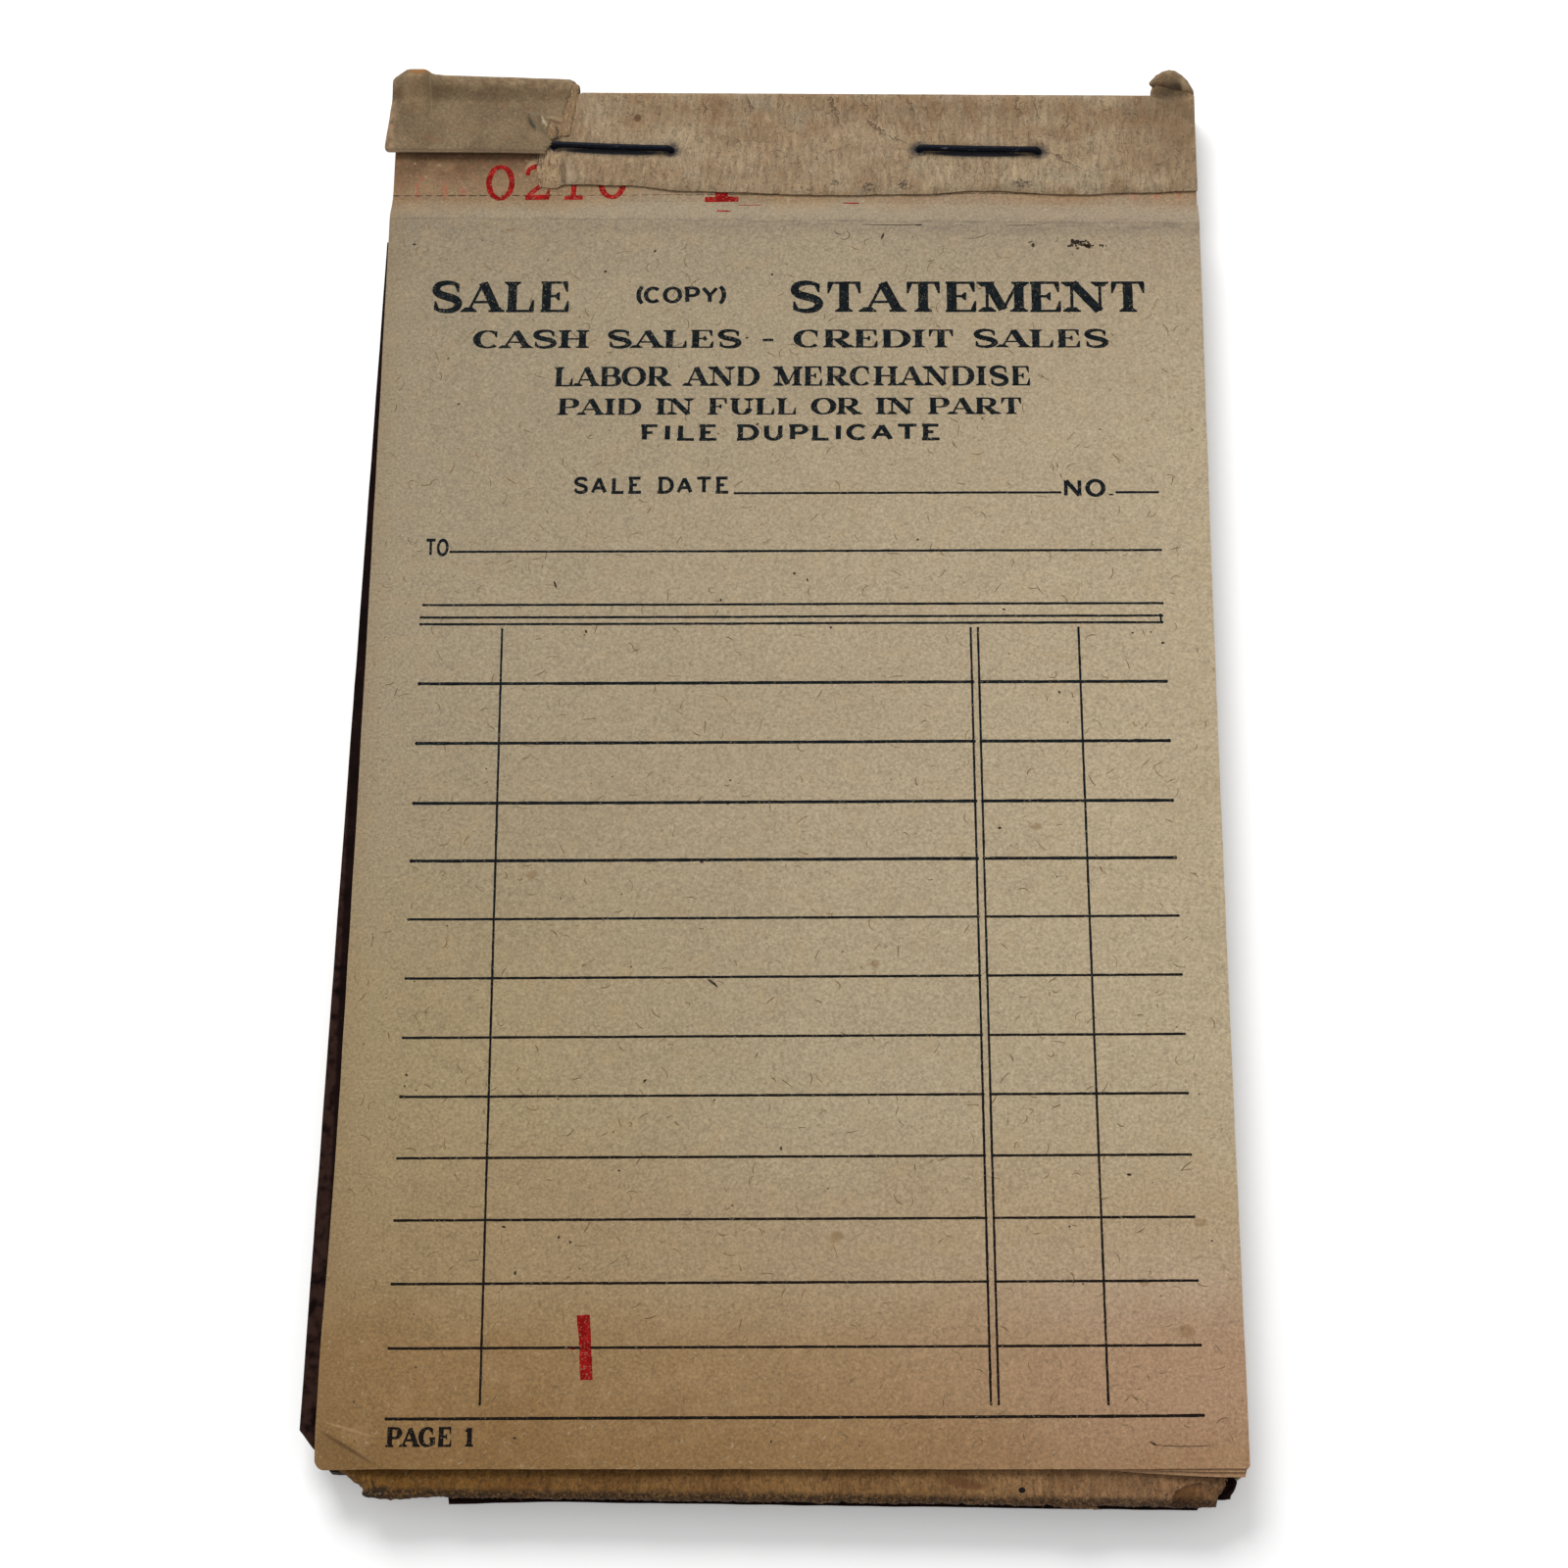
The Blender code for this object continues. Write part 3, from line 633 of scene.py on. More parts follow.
def make_chipboard():
    """Grey-brown chipboard: fuzzy long fibres, darker and crushed along its foot."""
    finish = Finish("chipboard_fuzzy", 0.92, 0.15, 0.15)
    fibres = finish.cloud(0.45, 3.0, 0.7, finish.stretched(1.0, 0.35, 0.6), 0.8)
    cloudy = finish.cloud(3.0, 3.0, 0.6)
    left = finish.mix(cloudy.step(0.3, 0.7), tone(95, 61, 19), tone(112, 78, 31))
    right = finish.mix(cloudy.step(0.3, 0.7), tone(122, 90, 56), tone(142, 108, 70))
    base = finish.mix(finish.x.step(-44.0, 44.0), left, right)
    fine = finish.cloud(0.25, 2.0, 0.7)
    finish.colour = finish.lighten(base, 1 + (fibres - 0.5) * 1.9 + (fine - 0.5) * 1.2)
    dark = finish.strands(0.8, 0.03, 0.5, finish.stretched(1.0, 0.5, 1.0))
    pale = finish.strands(0.6, 0.03, 0.5)
    finish.tint(dark * 0.5, 52, 34, 20)
    finish.tint(pale * 0.4, 158, 128, 90)
    tilted = finish.y - finish.x * math.tan(INSERT_TURN)
    clumps = finish.cloud(0.55, 3.0, 0.75)
    grit = finish.cloud(0.28, 2.0, 0.8)
    rim = tilted.step(BOARD_FOOT + 1.15, BOARD_FOOT + 0.5)
    finish.tint(rim * clumps.step(0.30, 0.52) * 0.8, 50, 35, 23)
    finish.tint(rim * grit.step(0.52, 0.62) * 0.7, 26, 18, 12)
    finish.tint(rim * grit.step(0.44, 0.36) * 0.5, 140, 110, 76)
    stain = finish.patch(17.4, -78.4, 2.6, 0.6, -12, 0.8) * 0.6
    finish.tint(stain, 88, 52, 26)
    dx, dy = (finish.x - 39.6) / 2.6, (finish.y + 80.1) / 1.7
    round_stain = (dx * dx + dy * dy) ** 0.5 + (finish.cloud(1.0, 3.0, 0.7) - 0.5) * 0.3
    share = round_stain.step(1.02, 0.93) * (finish.x.step(40.6, 38.2) * 0.45 + 0.50)
    finish.colour = finish.mix(share, finish.colour, (0.44, 0.34, 0.20, 1.0), "MULTIPLY")
    finish.colour = finish.mix(finish.x.step(12.0, 36.0), finish.colour, (1.0, 1.0, 1.17, 1.0), "MULTIPLY")
    arc = abs(round_stain - 0.97).step(0.09, 0.02) * finish.x.step(40.8, 39.4)
    finish.tint(arc * 0.6, 56, 36, 22)
    knot = finish.patch(-38.6, -79.3, 1.6, 0.8, 20, 0.8)
    finish.tint(knot * clumps.step(0.36, 0.50) * 0.85, 40, 28, 16)
    finish.tint(knot * clumps.step(0.58, 0.68) * 0.7, 150, 128, 92)
    crack = finish.scratch((-39.2, -77.9), (-38.7, -79.1), 0.16)
    finish.tint(crack * 0.85, 44, 28, 16)
    speck = finish.patch(22.9, -79.05, 0.36, 0.3, 0, 0.3)
    finish.tint(speck, 14, 10, 8)
    return finish.done(fibres * 0.8 + dark * 0.3 - pale * 0.2, 0.14, 0.8)


def make_carbon_paper():
    """Carbon paper: a dull purple-black coat, lighter and browner along its left rim."""
    finish = Finish("carbon_paper_dull", 0.7, 0.03)
    cloudy = finish.cloud(2.4, 3.0, 0.6)
    finish.colour = finish.mix(cloudy.step(0.3, 0.7), tone(16, 8, 7), tone(28, 15, 13))
    rub = finish.cloud(0.7, 3.0, 0.7).step(0.58, 0.76)
    finish.tint(rub * 0.35, 66, 42, 36)
    tilted = finish.x + (finish.y + 10.0) * math.tan(-INSERT_TURN)
    rim = tilted.step(-45.2, -45.55) * finish.cloud(1.2, 2.0).step(0.3, 0.6)
    finish.tint(rim * 0.5, 70, 48, 40)
    finish.set("Roughness", 0.6 + finish.cloud(1.0, 2.0) * 0.3)
    return finish.done(cloudy * 0.5 + finish.cloud(0.4, 2.0), 0.05, 0.6)


def make_cover_card():
    """The back cover: grey-brown card with flecks of waste pulp, rubbed at its rim."""
    finish = Finish("cover_card_flecked", 0.88, 0.25)
    cloudy = finish.cloud(6.0, 3.0, 0.6)
    base = finish.mix(cloudy.step(0.3, 0.7), tone(118, 104, 84), tone(140, 124, 100))
    height = paper_grain(finish, base, 0.05, 0.5, 0.14)
    cells = finish.node("TexVoronoi", {"feature": "F1"}, {"Vector": finish.place, "Scale": 0.9}, "Distance")
    flecks = cells.step(0.20, 0.10) * finish.cloud(1.3, 1.0).step(0.50, 0.62)
    finish.tint(flecks * 0.7, 74, 60, 48)
    ply = finish.cloud(1.0, 2.0, 0.6, finish.stretched(0.05, 0.05, 4.0)).step(0.35, 0.65)
    finish.tint(ply * 0.25, 104, 88, 68)
    finish.tint(finish.patch(-42.6, -76.6, 3.6, 2.6, 0, 0.4) * 0.9, 38, 26, 19)
    return finish.done(height, 0.06, 0.6)


def make_wire():
    """Staple wire: blue-black with corrosion, worn bright in places, the bright patches partly painted
    glints.
    """
    finish = Finish("staple_wire_blued", 0.5, 0.08)
    spots = finish.cloud(0.5, 3.0, 0.7).step(0.52, 0.68)
    finish.colour = finish.mix(spots, tone(8, 13, 22), tone(20, 27, 38))
    # Bright patches: worn metal, and painted glints
    worn = finish.cloud(0.7, 2.0, 0.6, finish.stretched(0.35, 1.0, 1.0)).step(0.64, 0.74)
    finish.tint(worn * 0.6, 84, 92, 100)
    finish.set("Metallic", worn * 0.6)
    finish.set("Roughness", 0.45 + spots * 0.25)
    return finish.done(finish.cloud(0.25, 3.0, 0.7) + spots, 0.05, 0.7)


def make_ink(name, deep, thin, bare=0.50, foot=None):
    """Letterpress ink: solid, with paper showing through in fine specks. It may be browner at the foot."""
    finish = Finish(name, 0.75, 0.06)
    cloudy = finish.cloud(0.9, 2.0, 0.6)
    finish.colour = finish.mix(cloudy.step(0.40, 0.70), deep, thin)
    if foot:
        finish.colour = finish.mix(finish.y.step(0.0, -66.0) * 0.85, finish.colour, foot)
    specks = finish.cloud(0.2, 1.0, 0.6).step(bare + 0.14, bare + 0.22)
    finish.tint(specks * 0.6, 136, 120, 96)
    return finish.done(finish.cloud(0.2, 2.0), 0.02, 0.4)


def make_flat_stain(name, deep, light):
    """Dirt, loose hairs, torn fibres and the painted shade in the perforation's slits: two close tones, mixed
    along each.
    """
    finish = Finish(name, 0.92, 0.15)
    finish.colour = finish.mix(finish.cloud(0.5, 2.0, 0.6).step(0.35, 0.65), deep, light)
    return finish.done(finish.cloud(0.15, 1.0), 0.02, 0.4)


FINISHES = {
    "leaf": make_leaf_paper("leaf_paper_aged", True),
    "lower_leaf": make_leaf_paper("leaf_paper_clean", False),
    "plain": make_plain_paper(),
    "strip": make_strip_paper(),
    "wrap": make_wrap_paper(),
    "board": make_chipboard(),
    "carbon": make_carbon_paper(),
    "cover": make_cover_card(),
    "wire": make_wire(),
    "ink": make_ink("ink_blue_black", tone(8, 15, 20), tone(24, 31, 33), 0.50, tone(22, 15, 10)),
    "red_ink": make_ink("ink_red", tone(126, 8, 8), tone(160, 26, 22), 0.46),
    "dirt_and_slit_shade": make_flat_stain("dirt_and_shade_dark", tone(40, 34, 28), tone(72, 60, 46)),
    "hair": make_flat_stain("paper_hair", tone(104, 84, 58), tone(138, 116, 86)),
    "fluff": make_flat_stain("torn_fibre_pale", tone(150, 126, 94), tone(188, 168, 136)),
    "board_fluff": make_flat_stain("torn_fibre_brown", tone(88, 58, 30), tone(146, 108, 66)),
}


# Meshes

def add_piece(name, points, faces, finish, body=None, angle=40):
    """One closed mesh from points in mm, with its faces pointing out, on its body."""
    mesh = bpy.data.meshes.new(name)
    inside = [[min(max(v, a), b) for v, a, b in zip(point, cad_box[0], cad_box[1])]
              for point in (Vector(point) * MM for point in points)]
    mesh.from_pydata(inside, [], faces)
    bm = bmesh.new()
    bm.from_mesh(mesh)
    bmesh.ops.recalc_face_normals(bm, faces=bm.faces)
    bm.to_mesh(mesh)
    bm.free()
    place = mesh.attributes.new("flat_place", "FLOAT_VECTOR", "POINT")
    place.data.foreach_set("vector", [value for vertex in mesh.vertices for value in vertex.co])
    mesh.materials.append(FINISHES[finish])
    mesh.shade_smooth()
    mesh.set_sharp_from_angle(angle=math.radians(angle))
    piece = bpy.data.objects.new(name, mesh)
    bpy.context.collection.objects.link(piece)
    if body:
        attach(piece, body)
    return piece


def lowered(rows, depth):
    """The same grid of points, lower by a depth."""
    return [[point - Vector((0, 0, depth)) for point in row] for row in rows]


def closed_sheet(upper, lower, shares=(), rim=None):
    """Points and faces of a sheet between two grids. Its rim may have loops between them, pushed about."""
    rows, columns = len(upper), len(upper[0])
    points = [Vector(p) for row in upper for p in row] + [Vector(p) for row in lower for p in row]
    count = rows * columns
    faces = []
    for row in range(rows - 1):
        for column in range(columns - 1):
            a = row * columns + column
            quad = (a, a + 1, a + columns + 1, a + columns)
            faces.append(quad)
            faces.append(tuple(count + i for i in reversed(quad)))
    border = list(range(columns))
    border += [row * columns + columns - 1 for row in range(1, rows)]
    border += [(rows - 1) * columns + column for column in range(columns - 2, -1, -1)]
    border += [row * columns for row in range(rows - 2, 0, -1)]
    middle = sum((points[i] for i in border), Vector()) / len(border)
    loops = [border]
    for share in shares:
        start = len(points)
        for index in border:
            point = points[index].lerp(points[count + index], share)
            out = Vector((point.x - middle.x, point.y - middle.y, 0)).normalized()
            points.append(point + out * rim(point, share))
        loops.append(list(range(start, len(points))))
    loops.append([count + i for i in border])
    for above, below in zip(loops, loops[1:]):
        for i in range(len(border)):
            j = (i + 1) % len(border)
            faces.append((above[i], below[i], below[j], above[j]))
    return points, faces


def add_sheet(name, upper, lower, finish, body=None, angle=40, shares=(), rim=None):
    """One closed piece between two grids of points."""
    return add_piece(name, *closed_sheet(upper, lower, shares, rim), finish, body, angle)


def split_faces(rows):
    """The upper and the lower grid, from rows of pairs of points."""
    return [[[pair[side] for pair in row] for row in rows] for side in (0, 1)]


# Leaves

# The crease of the top leaf's folded foot corner, from end to end
DOG_EAR = ((-44.4, -73.4), (-39.5, -76.3))


def leaf_top(x, y, leaf=1):
    """The height of a leaf's upper face, from its stub's level over the board's head edge to the foot."""
    low = stub_top(x, y) - (leaf - 1) * PITCH
    high = LEAF_TOP - (leaf - 1) * PITCH
    below = PERFORATION - (y + SLANT * x)
    climb = min(max(below / RAMP, 0.0), 1.0)
    level = low + (high - low) * (0.35 * climb + 0.65 * smooth(0, 1, climb))
    settled = smooth(RAMP, RAMP + 6, below)
    spring = 0.10 * hump(below, RAMP + 0.7, 0.9)
    waves = 0.05 * (1 + lumps(x, y, 34)) + 0.025 * (1 + lumps(x, y, 11, 4.0))
    right_foot = 0.30 * smooth(14, 0, math.hypot(x - HALF, y - FOOT))
    left_side = 0.14 * smooth(9, 0, x + HALF) * smooth(-20, 10, -abs(y + 10) + 60)
    level += spring + settled * (waves + right_foot + left_side)
    (ax, ay), (bx, by) = DOG_EAR
    length = math.hypot(bx - ax, by - ay)
    beyond = ((x - ax) * (by - ay) - (y - ay) * (bx - ax)) / length
    level += 0.05 * hump(beyond, 0, 0.3) * smooth(4, 8, -(y + 66))
    if beyond > 0:
        level -= 0.16 * beyond * smooth(0, 0.5, beyond)
    return level


def stub_top(x, y):
    """The height of the top stub's face."""
    return STUB_TOP + 0.02 * lumps(x, y, 6) - 0.02


def side_inset(y, side, leaf):
    """How far a leaf's side edge lies inside its full width."""
    waist = 0.20 * max(0.0, 1 - ((y + 5) / 62) ** 2)
    spread_left = 0.32 * smooth(-44, -70, y) if side < 0 else 0.0
    shorter = 0.12 * (leaf - 1) - 0.03 if side > 0 else 0.05
    return waist - spread_left + 0.035 * (1 + lumps(side * 3.0 + leaf, y, 5.0)) + shorter


def foot_line(x, leaf):
    """Where a leaf's foot edge is. The lower leaves lie a little turned, so they show only at the right."""
    if leaf == 1:
        return FOOT + 0.02 + 0.03 * lumps(x, 9.0, 3.0)
    shown = smooth(24, 44, x)
    return FOOT + 0.26 + 0.03 * lumps(x, leaf * 9.0, 3.0) - (0.10 + (leaf - 1) * 0.46) * shown


def rounded_corner(x, y, radius_left, radius_right):
    """Pulls a place in to the sheet's rounded foot corners."""
    for side, radius in ((-1, radius_left), (1, radius_right)):
        cx, cy = side * (HALF + (0.25 if side < 0 else 0.0) - radius), FOOT + radius
        dx, dy = x - cx, y - cy
        away = math.hypot(dx, dy)
        if dx * side > 0 and dy < 0 and away > radius:
            return cx + dx * radius / away, cy + dy * radius / away
    return x, y


def worn_corner(x):
    """How much shorter the block is at its dog-eared corner."""
    return 0.65 * smooth(-37.0, -41.5, x)


def leaf_place(across, down, leaf):
    """A point of a leaf's upper face, from its share of the half width and its place along the pad."""
    side = 1 if across > 0 else -1
    x = across * (HALF - side_inset(down, side, leaf) * smooth(0.6, 1.0, abs(across)))
    y = down - SLANT * x * smooth(-70, 30, down)
    y += (foot_line(x, leaf) - FOOT) * smooth(FOOT + 9, FOOT, down)
    x, y = rounded_corner(x, y, 1.1, 0.35)
    return Vector((x, y, leaf_top(x, y, leaf)))


def bend_at_perforation(piece):
    """Bakes a piece's placement into its mesh; it is used for the pieces of a slip below the perforation."""
    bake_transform(piece)


def make_slip(leaf, finish, across, far):
    """One of the leaves on the board, below its perforation."""
    near = PERFORATION - RAMP - 2.2
    down = spread(FOOT, FOOT + 3, 16)[:-1] + spread(FOOT + 3, near, far)[:-1]
    down += spread(near, PERFORATION - (0.0 if leaf == 1 else 0.1), 15)
    columns = spread(-1, -0.95, 14)[:-1] + spread(-0.95, 0.97, across)[:-1] + spread(0.97, 1, 8)
    upper = [[leaf_place(u, y, leaf) for u in columns] for y in down]
    teeth = upper[-1]
    for point in teeth if leaf > 1 else []:
        point.y += 0.05 * math.sin(point.x * 2 * math.pi / 1.3) + 0.02 * lumps(point.x, leaf, 0.7)
    piece = add_sheet(f"leaf_{leaf:02d}_sheet", upper, lowered(upper, LEAF), finish)
    bend_at_perforation(piece)
    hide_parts(f"leaf_{leaf:02d}")


def make_block_leaf(leaf):
    """A leaf of the block under the board."""
    top = BLOCK_TOP - (leaf - ON_BOARD - 1) * PITCH
    drift = 0.16 * noise.noise(Vector((leaf * 1.7, 3.1, 0)))
    rows = []
    bend = PERFORATION - 3.2
    down = spread(FOOT, FOOT + 3, 10)[:-1] + spread(FOOT + 3, bend, 36)[:-1]
    down += spread(bend, PERFORATION - 0.12, 7)
    for y in down:
        row = []
        for u in spread(-1, -0.9, 8)[:-1] + spread(-0.9, 0.95, 11)[:-1] + spread(0.95, 1, 4):
            side = 1 if u > 0 else -1
            inset = 0.10 + 0.06 * lumps(leaf * 5.0 + side, y, 7.0)
            x = u * (HALF - inset * smooth(0.7, 1.0, abs(u)) - 0.12) + drift * 0.6
            place_y = y - SLANT * x * smooth(-70, 30, y)
            short = 0.22 + drift + 0.05 * lumps(x, leaf * 3.0, 4.0) + worn_corner(x)
            place_y += short * smooth(FOOT + 9, FOOT, y)
            x, place_y = rounded_corner(x, place_y, 2.0, 0.7)
            row.append(Vector((x, place_y, top + 0.012 * lumps(x, y, 8.0, leaf))))
        rows.append(row)
    piece = add_sheet(f"leaf_{leaf:02d}_sheet", rows, lowered(rows, LEAF), "plain")
    bend_at_perforation(piece)
    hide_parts(f"leaf_{leaf:02d}")


def make_stub(number):
    """The bound end of a leaf, above its perforation."""
    top = STUB_TOP - (number - 1) * PITCH
    rows = []
    for y in spread(PERFORATION + (0.0 if number == 1 else 0.02), HEAD, 12):
        row = []
        for u in spread(-1, 1, 61 if number == 1 else 25):
            side = 1 if u > 0 else -1
            inset = 0.05 + 0.05 * (1 + lumps(number * 5.0 + side, y, 4.0))
            x = u * (HALF - inset * smooth(0.7, 1.0, abs(u)))
            z = stub_top(x, y) if number == 1 else top + 0.01 * lumps(x, y, 8.0, number)
            row.append(Vector((x, y - SLANT * x, z)))
        rows.append(row)
    finish = "leaf" if number == 1 else "plain"
    piece = add_sheet(f"stub_{number:02d}_sheet", rows, lowered(rows, LEAF), finish, "binding")
    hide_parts(f"stub_{number:02d}")


# Inserts

def board_foot(x):
    """The board's foot edge, before it is turned: worn corners and a ragged rim."""
    edge = BOARD_FOOT + 0.22
    edge += 0.12 * lumps(x, 2.0, 2.4) + 0.10 * lumps(x, 5.0, 0.7) + 0.07 * lumps(x, 8.0, 0.33)
    edge -= 0.28 * hump(x, 28.0, 1.6) + 0.25 * smooth(-39.0, -37.4, x) * smooth(-34.0, -36.0, x)
    left = BOARD_FOOT + 2.7 - (x + BOARD_HALF) * 0.68
    cut = BOARD_FOOT + 2.6 - (BOARD_HALF - x) * 1.28 if x > BOARD_HALF - 1.15 else edge
    return max(edge, left + 0.12 * lumps(x, 8.0, 0.9), cut + 0.15 * lumps(x, 11.0, 0.5))


def make_board():
    """The writing board: a crushed, fuzzy foot edge and rounded sides."""
    steps = [0, 0.06, 0.14, 0.25, 0.4, 0.6, 0.85, 1.15, 1.5, 1.9, 2.4, 3.0, 3.8, 5, 8]
    length = BOARD_HEAD - BOARD_FOOT
    steps += spread(12, length, 26)
    rows = []
    for step in steps:
        row = []
        for x in spread(-BOARD_HALF, BOARD_HALF, 341):
            foot = board_foot(x)
            y = foot + step * (BOARD_HEAD - foot) / length
            from_rim = min(y - foot, BOARD_HALF - abs(x), BOARD_HEAD - y)
            px, py = askew(x, y, BOARD_SHIFT)
            px -= 1.05 * smooth(-37.6, -38.4, px) * hump(py, -79.4, 0.5)
            crushed = 0.30 * math.exp(-from_rim / 0.22) + 0.10 * math.exp(-from_rim / 0.9)
            pulp = 0.06 * lumps(x, y * 0.6, 0.6) + 0.04 * lumps(x, y, 2.2, 3.0)
            shown = smooth(6, 3, y - foot)
            rim = hump(from_rim, 0.45, 0.35) * shown
            top = BOARD_HIGH.z - 0.05 - crushed + pulp * shown + 0.22 * rim * lumps(x, y, 0.8)
            arc = math.hypot((px - 39.6) / 3.1, (py + 80.2) / 1.9)
            top -= 0.14 * hump(arc, 1.0, 0.10) * shown
            low = BOARD_LOW.z + 0.10 * math.exp(-from_rim / 0.2)
            row.append((Vector((px, py, min(top, BOARD_HIGH.z))), Vector((px, py, low))))
        rows.append(row)

    def fuzz(point, share):
        ragged = 0.12 * lumps(point.x * 1.3, point.y * 1.3 + share * 7, 0.5)
        return 0.03 + ragged + 0.06 * math.sin(share * math.pi)

    loops = (0.25, 0.5, 0.75)
    piece = add_sheet("writing_board_worn", *split_faces(rows), "board", "board", 70, loops, fuzz)
    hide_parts("writing_board")


def carbon_foot(x):
    """The carbon sheet's foot edge before it is turned, with its torn left corner."""
    edge = CARBON_FOOT + 0.05 + 0.05 * lumps(x, 1.0, 3.0)
    from_left = x + HALF
    torn = CARBON_FOOT + 6.6 - min(from_left, 1.6) * 1.15 - max(from_left - 1.6, 0) * 0.36
    if x > -29.65:
        return edge - 0.36 * max(0.0, min(1.0, (-20.5 - x) / 9)) + smooth(41.6, 42.1, x)
    return max(edge + 0.5, torn + 0.12 * lumps(x, 4.0, 1.5))


def make_carbon():
    """The carbon sheet, crumpled at its right foot corner."""
    upper = []
    length = BOARD_HEAD - CARBON_FOOT
    steps = spread(0, 5, 42) + spread(6, length, 60)
    columns = spread(-1, -0.668, 52) + spread(-0.665, 0.88, 80)[:-1] + spread(0.88, 1, 44)
    for step in steps:
        row = []
        for u in columns:
            x = u * HALF
            foot = carbon_foot(x)
            y = foot + step * (BOARD_HEAD - foot) / length
            wave = 0.06 * lumps(3.0, y, 9.0) * smooth(0.8, 1.0, abs(u))
            px, py = askew(x * (1 - 0.0006 * (1 + lumps(u, y, 6.0))), y, CARBON_SHIFT)
            ragged = smooth(FOOT + 1.6, FOOT + 0.4, py) * smooth(0.955, 1.0, u)
            px += ragged * (0.45 + 0.5 * hump(py, -78.4, 0.7) + 0.25 * lumps(px, py, 0.9))
            free = smooth(FOOT + 0.6, FOOT - 0.2, py) * smooth(41.2, 42.0, px + (py - FOOT) * 0.3)
            side = smooth(HALF + 0.1, HALF + 0.5, abs(px))
            ridged = abs(lumps(px, py, 0.75)) + 0.5 * abs(lumps(px, py, 0.35, 2.0))
            z = CARBON_HIGH.z + free * (0.15 + 1.5 * ridged) + side * (0.10 * lumps(px, py, 2.5) - 0.06)
            row.append(Vector((px, py, z + wave * 0.3)))
        upper.append(row)
    lower = lowered(upper, CARBON_HIGH.z - CARBON_LOW.z)
    piece = add_sheet("carbon_sheet_limp", upper, lower, "carbon", "carbon")
    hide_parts("carbon_sheet")


def press_of_clinch(x, y):
    """How far the clinched wire ends have pressed into the back, near a place."""
    deepest = 0.0
    for staple in STAPLES.values():
        for end in (-1, 1):
            outer = along_staple(staple, end)
            inner = along_staple(staple, end * (1 - CLINCH_RUN / CROWN_HALF))
            away, _ = off_segment(x, y, outer, inner)
            deepest = max(deepest, smooth(0.75, 0.38, away))
    return deepest


def make_cover():
    """The back cover: stiff card with softened corners, thinned under the strip's back lap."""
    lap = HEAD - 9.0
    card = COVER_HIGH.z
    rows = []
    downs = spread(FOOT, lap - 0.05, 60) + spread(lap, HEAD, 40)
    for y in downs:
        row = []
        for u in spread(-1, 1, 121):
            x = u * (HALF - 0.02)
            place_y = y - SLANT * x * smooth(-70, 30, y) + worn_corner(x) * smooth(FOOT + 9, FOOT, y)
            px, py = rounded_corner(x, place_y, 3.0, 1.4)
            from_rim = min(HALF - abs(px), py - FOOT)
            round_off = 0.10 * math.exp(-max(from_rim, 0) / 0.25)
            low = 0.41 if y >= lap else 0.0
            low += press_of_clinch(px, py) * CLINCH_PRESS * (1 if y >= lap else 0)
            low += round_off if y < lap else 0
            row.append((Vector((px, py, card - round_off)), Vector((px, py, low))))
        rows.append(row)

    def ply(point, share):
        return 0.02 * lumps(point.x, point.y + share * 5, 0.8) - 0.01

    loops = (0.33, 0.66)
    piece = add_sheet("back_cover_card", *split_faces(rows), "cover", "binding", 40, loops, ply)
    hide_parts("back_cover")


# Binding

# The front lap's reach at places across the pad, and under the left remnant, and where its torn end is
FRONT_LAPS = [(-28.3, 11.8), (-26.4, 12.0), (-25.2, 11.5), (-18.3, 11.6), (-11.8, 12.3), (4.4, 12.7)]
FRONT_LAPS += [(14.1, 12.5), (20.6, 12.0), (31.4, 12.4), (38.0, 12.1), (44.6, 11.8)]
HIDDEN_LAP = 7.2
TORN_END = (-28.4, -28.1)
# Where the strip comes free of the left remnant, across the pad
FREE_OF_WRAP = (-24.4, -23.8)
# How many rows of points the front lap has, from its torn edge to the fold
FRONT_ROWS = 27


def front_lap(x):
    """How far the torn front lap reaches down from the head."""
    places = FRONT_LAPS
    lap = places[0][1]
    for (left, first), (right, second) in zip(places, places[1:]):
        if left <= x <= right:
            lap = first + (second - first) * smooth(left, right, x)
    if x > places[-1][0]:
        lap = places[-1][1]
    lap += 0.07 * lumps(x, 3.0, 1.7) + 0.04 * lumps(x, 9.0, 0.5)
    return HIDDEN_LAP + (lap - HIDDEN_LAP) * smooth(*TORN_END, x)


def head_rise(x, y):
    """How much the strip stands up towards its fold, where the wrap doesn't hold it down."""
    return 0.42 * smooth(SPINE - 3.4, SPINE - 0.4, y) * smooth(*FREE_OF_WRAP, x)


def strip_relief(x, y):
    """The strip's own unevenness on its front: streaks, wrinkles and dimples at the staples' ends."""
    height = 0.030 * lumps(x, y * 0.25, 0.8) + 0.030 * lumps(x, y, 2.6, 7.0) + 0.012 * lumps(x, y, 0.5, 2.0)
    for start, end, depth, width in WRINKLES:
        away, along = off_segment(x, y, start, end)
        height -= depth * hump(away, 0, width) * math.sin(math.pi * (0.1 + 0.8 * along))
    for staple in STAPLES.values():
        for share in (-1.0, 1.0):
            px, py = along_staple(staple, share)
            away = math.hypot(x - px, y - py)
            height += 0.10 * hump(away, 1.3, 0.6) - 0.30 * hump(away, 0, 0.7)
        away, _ = off_segment(x, y, along_staple(staple, -1), along_staple(staple, 1))
        height -= 0.10 * hump(away, 0, 0.8)
    return height


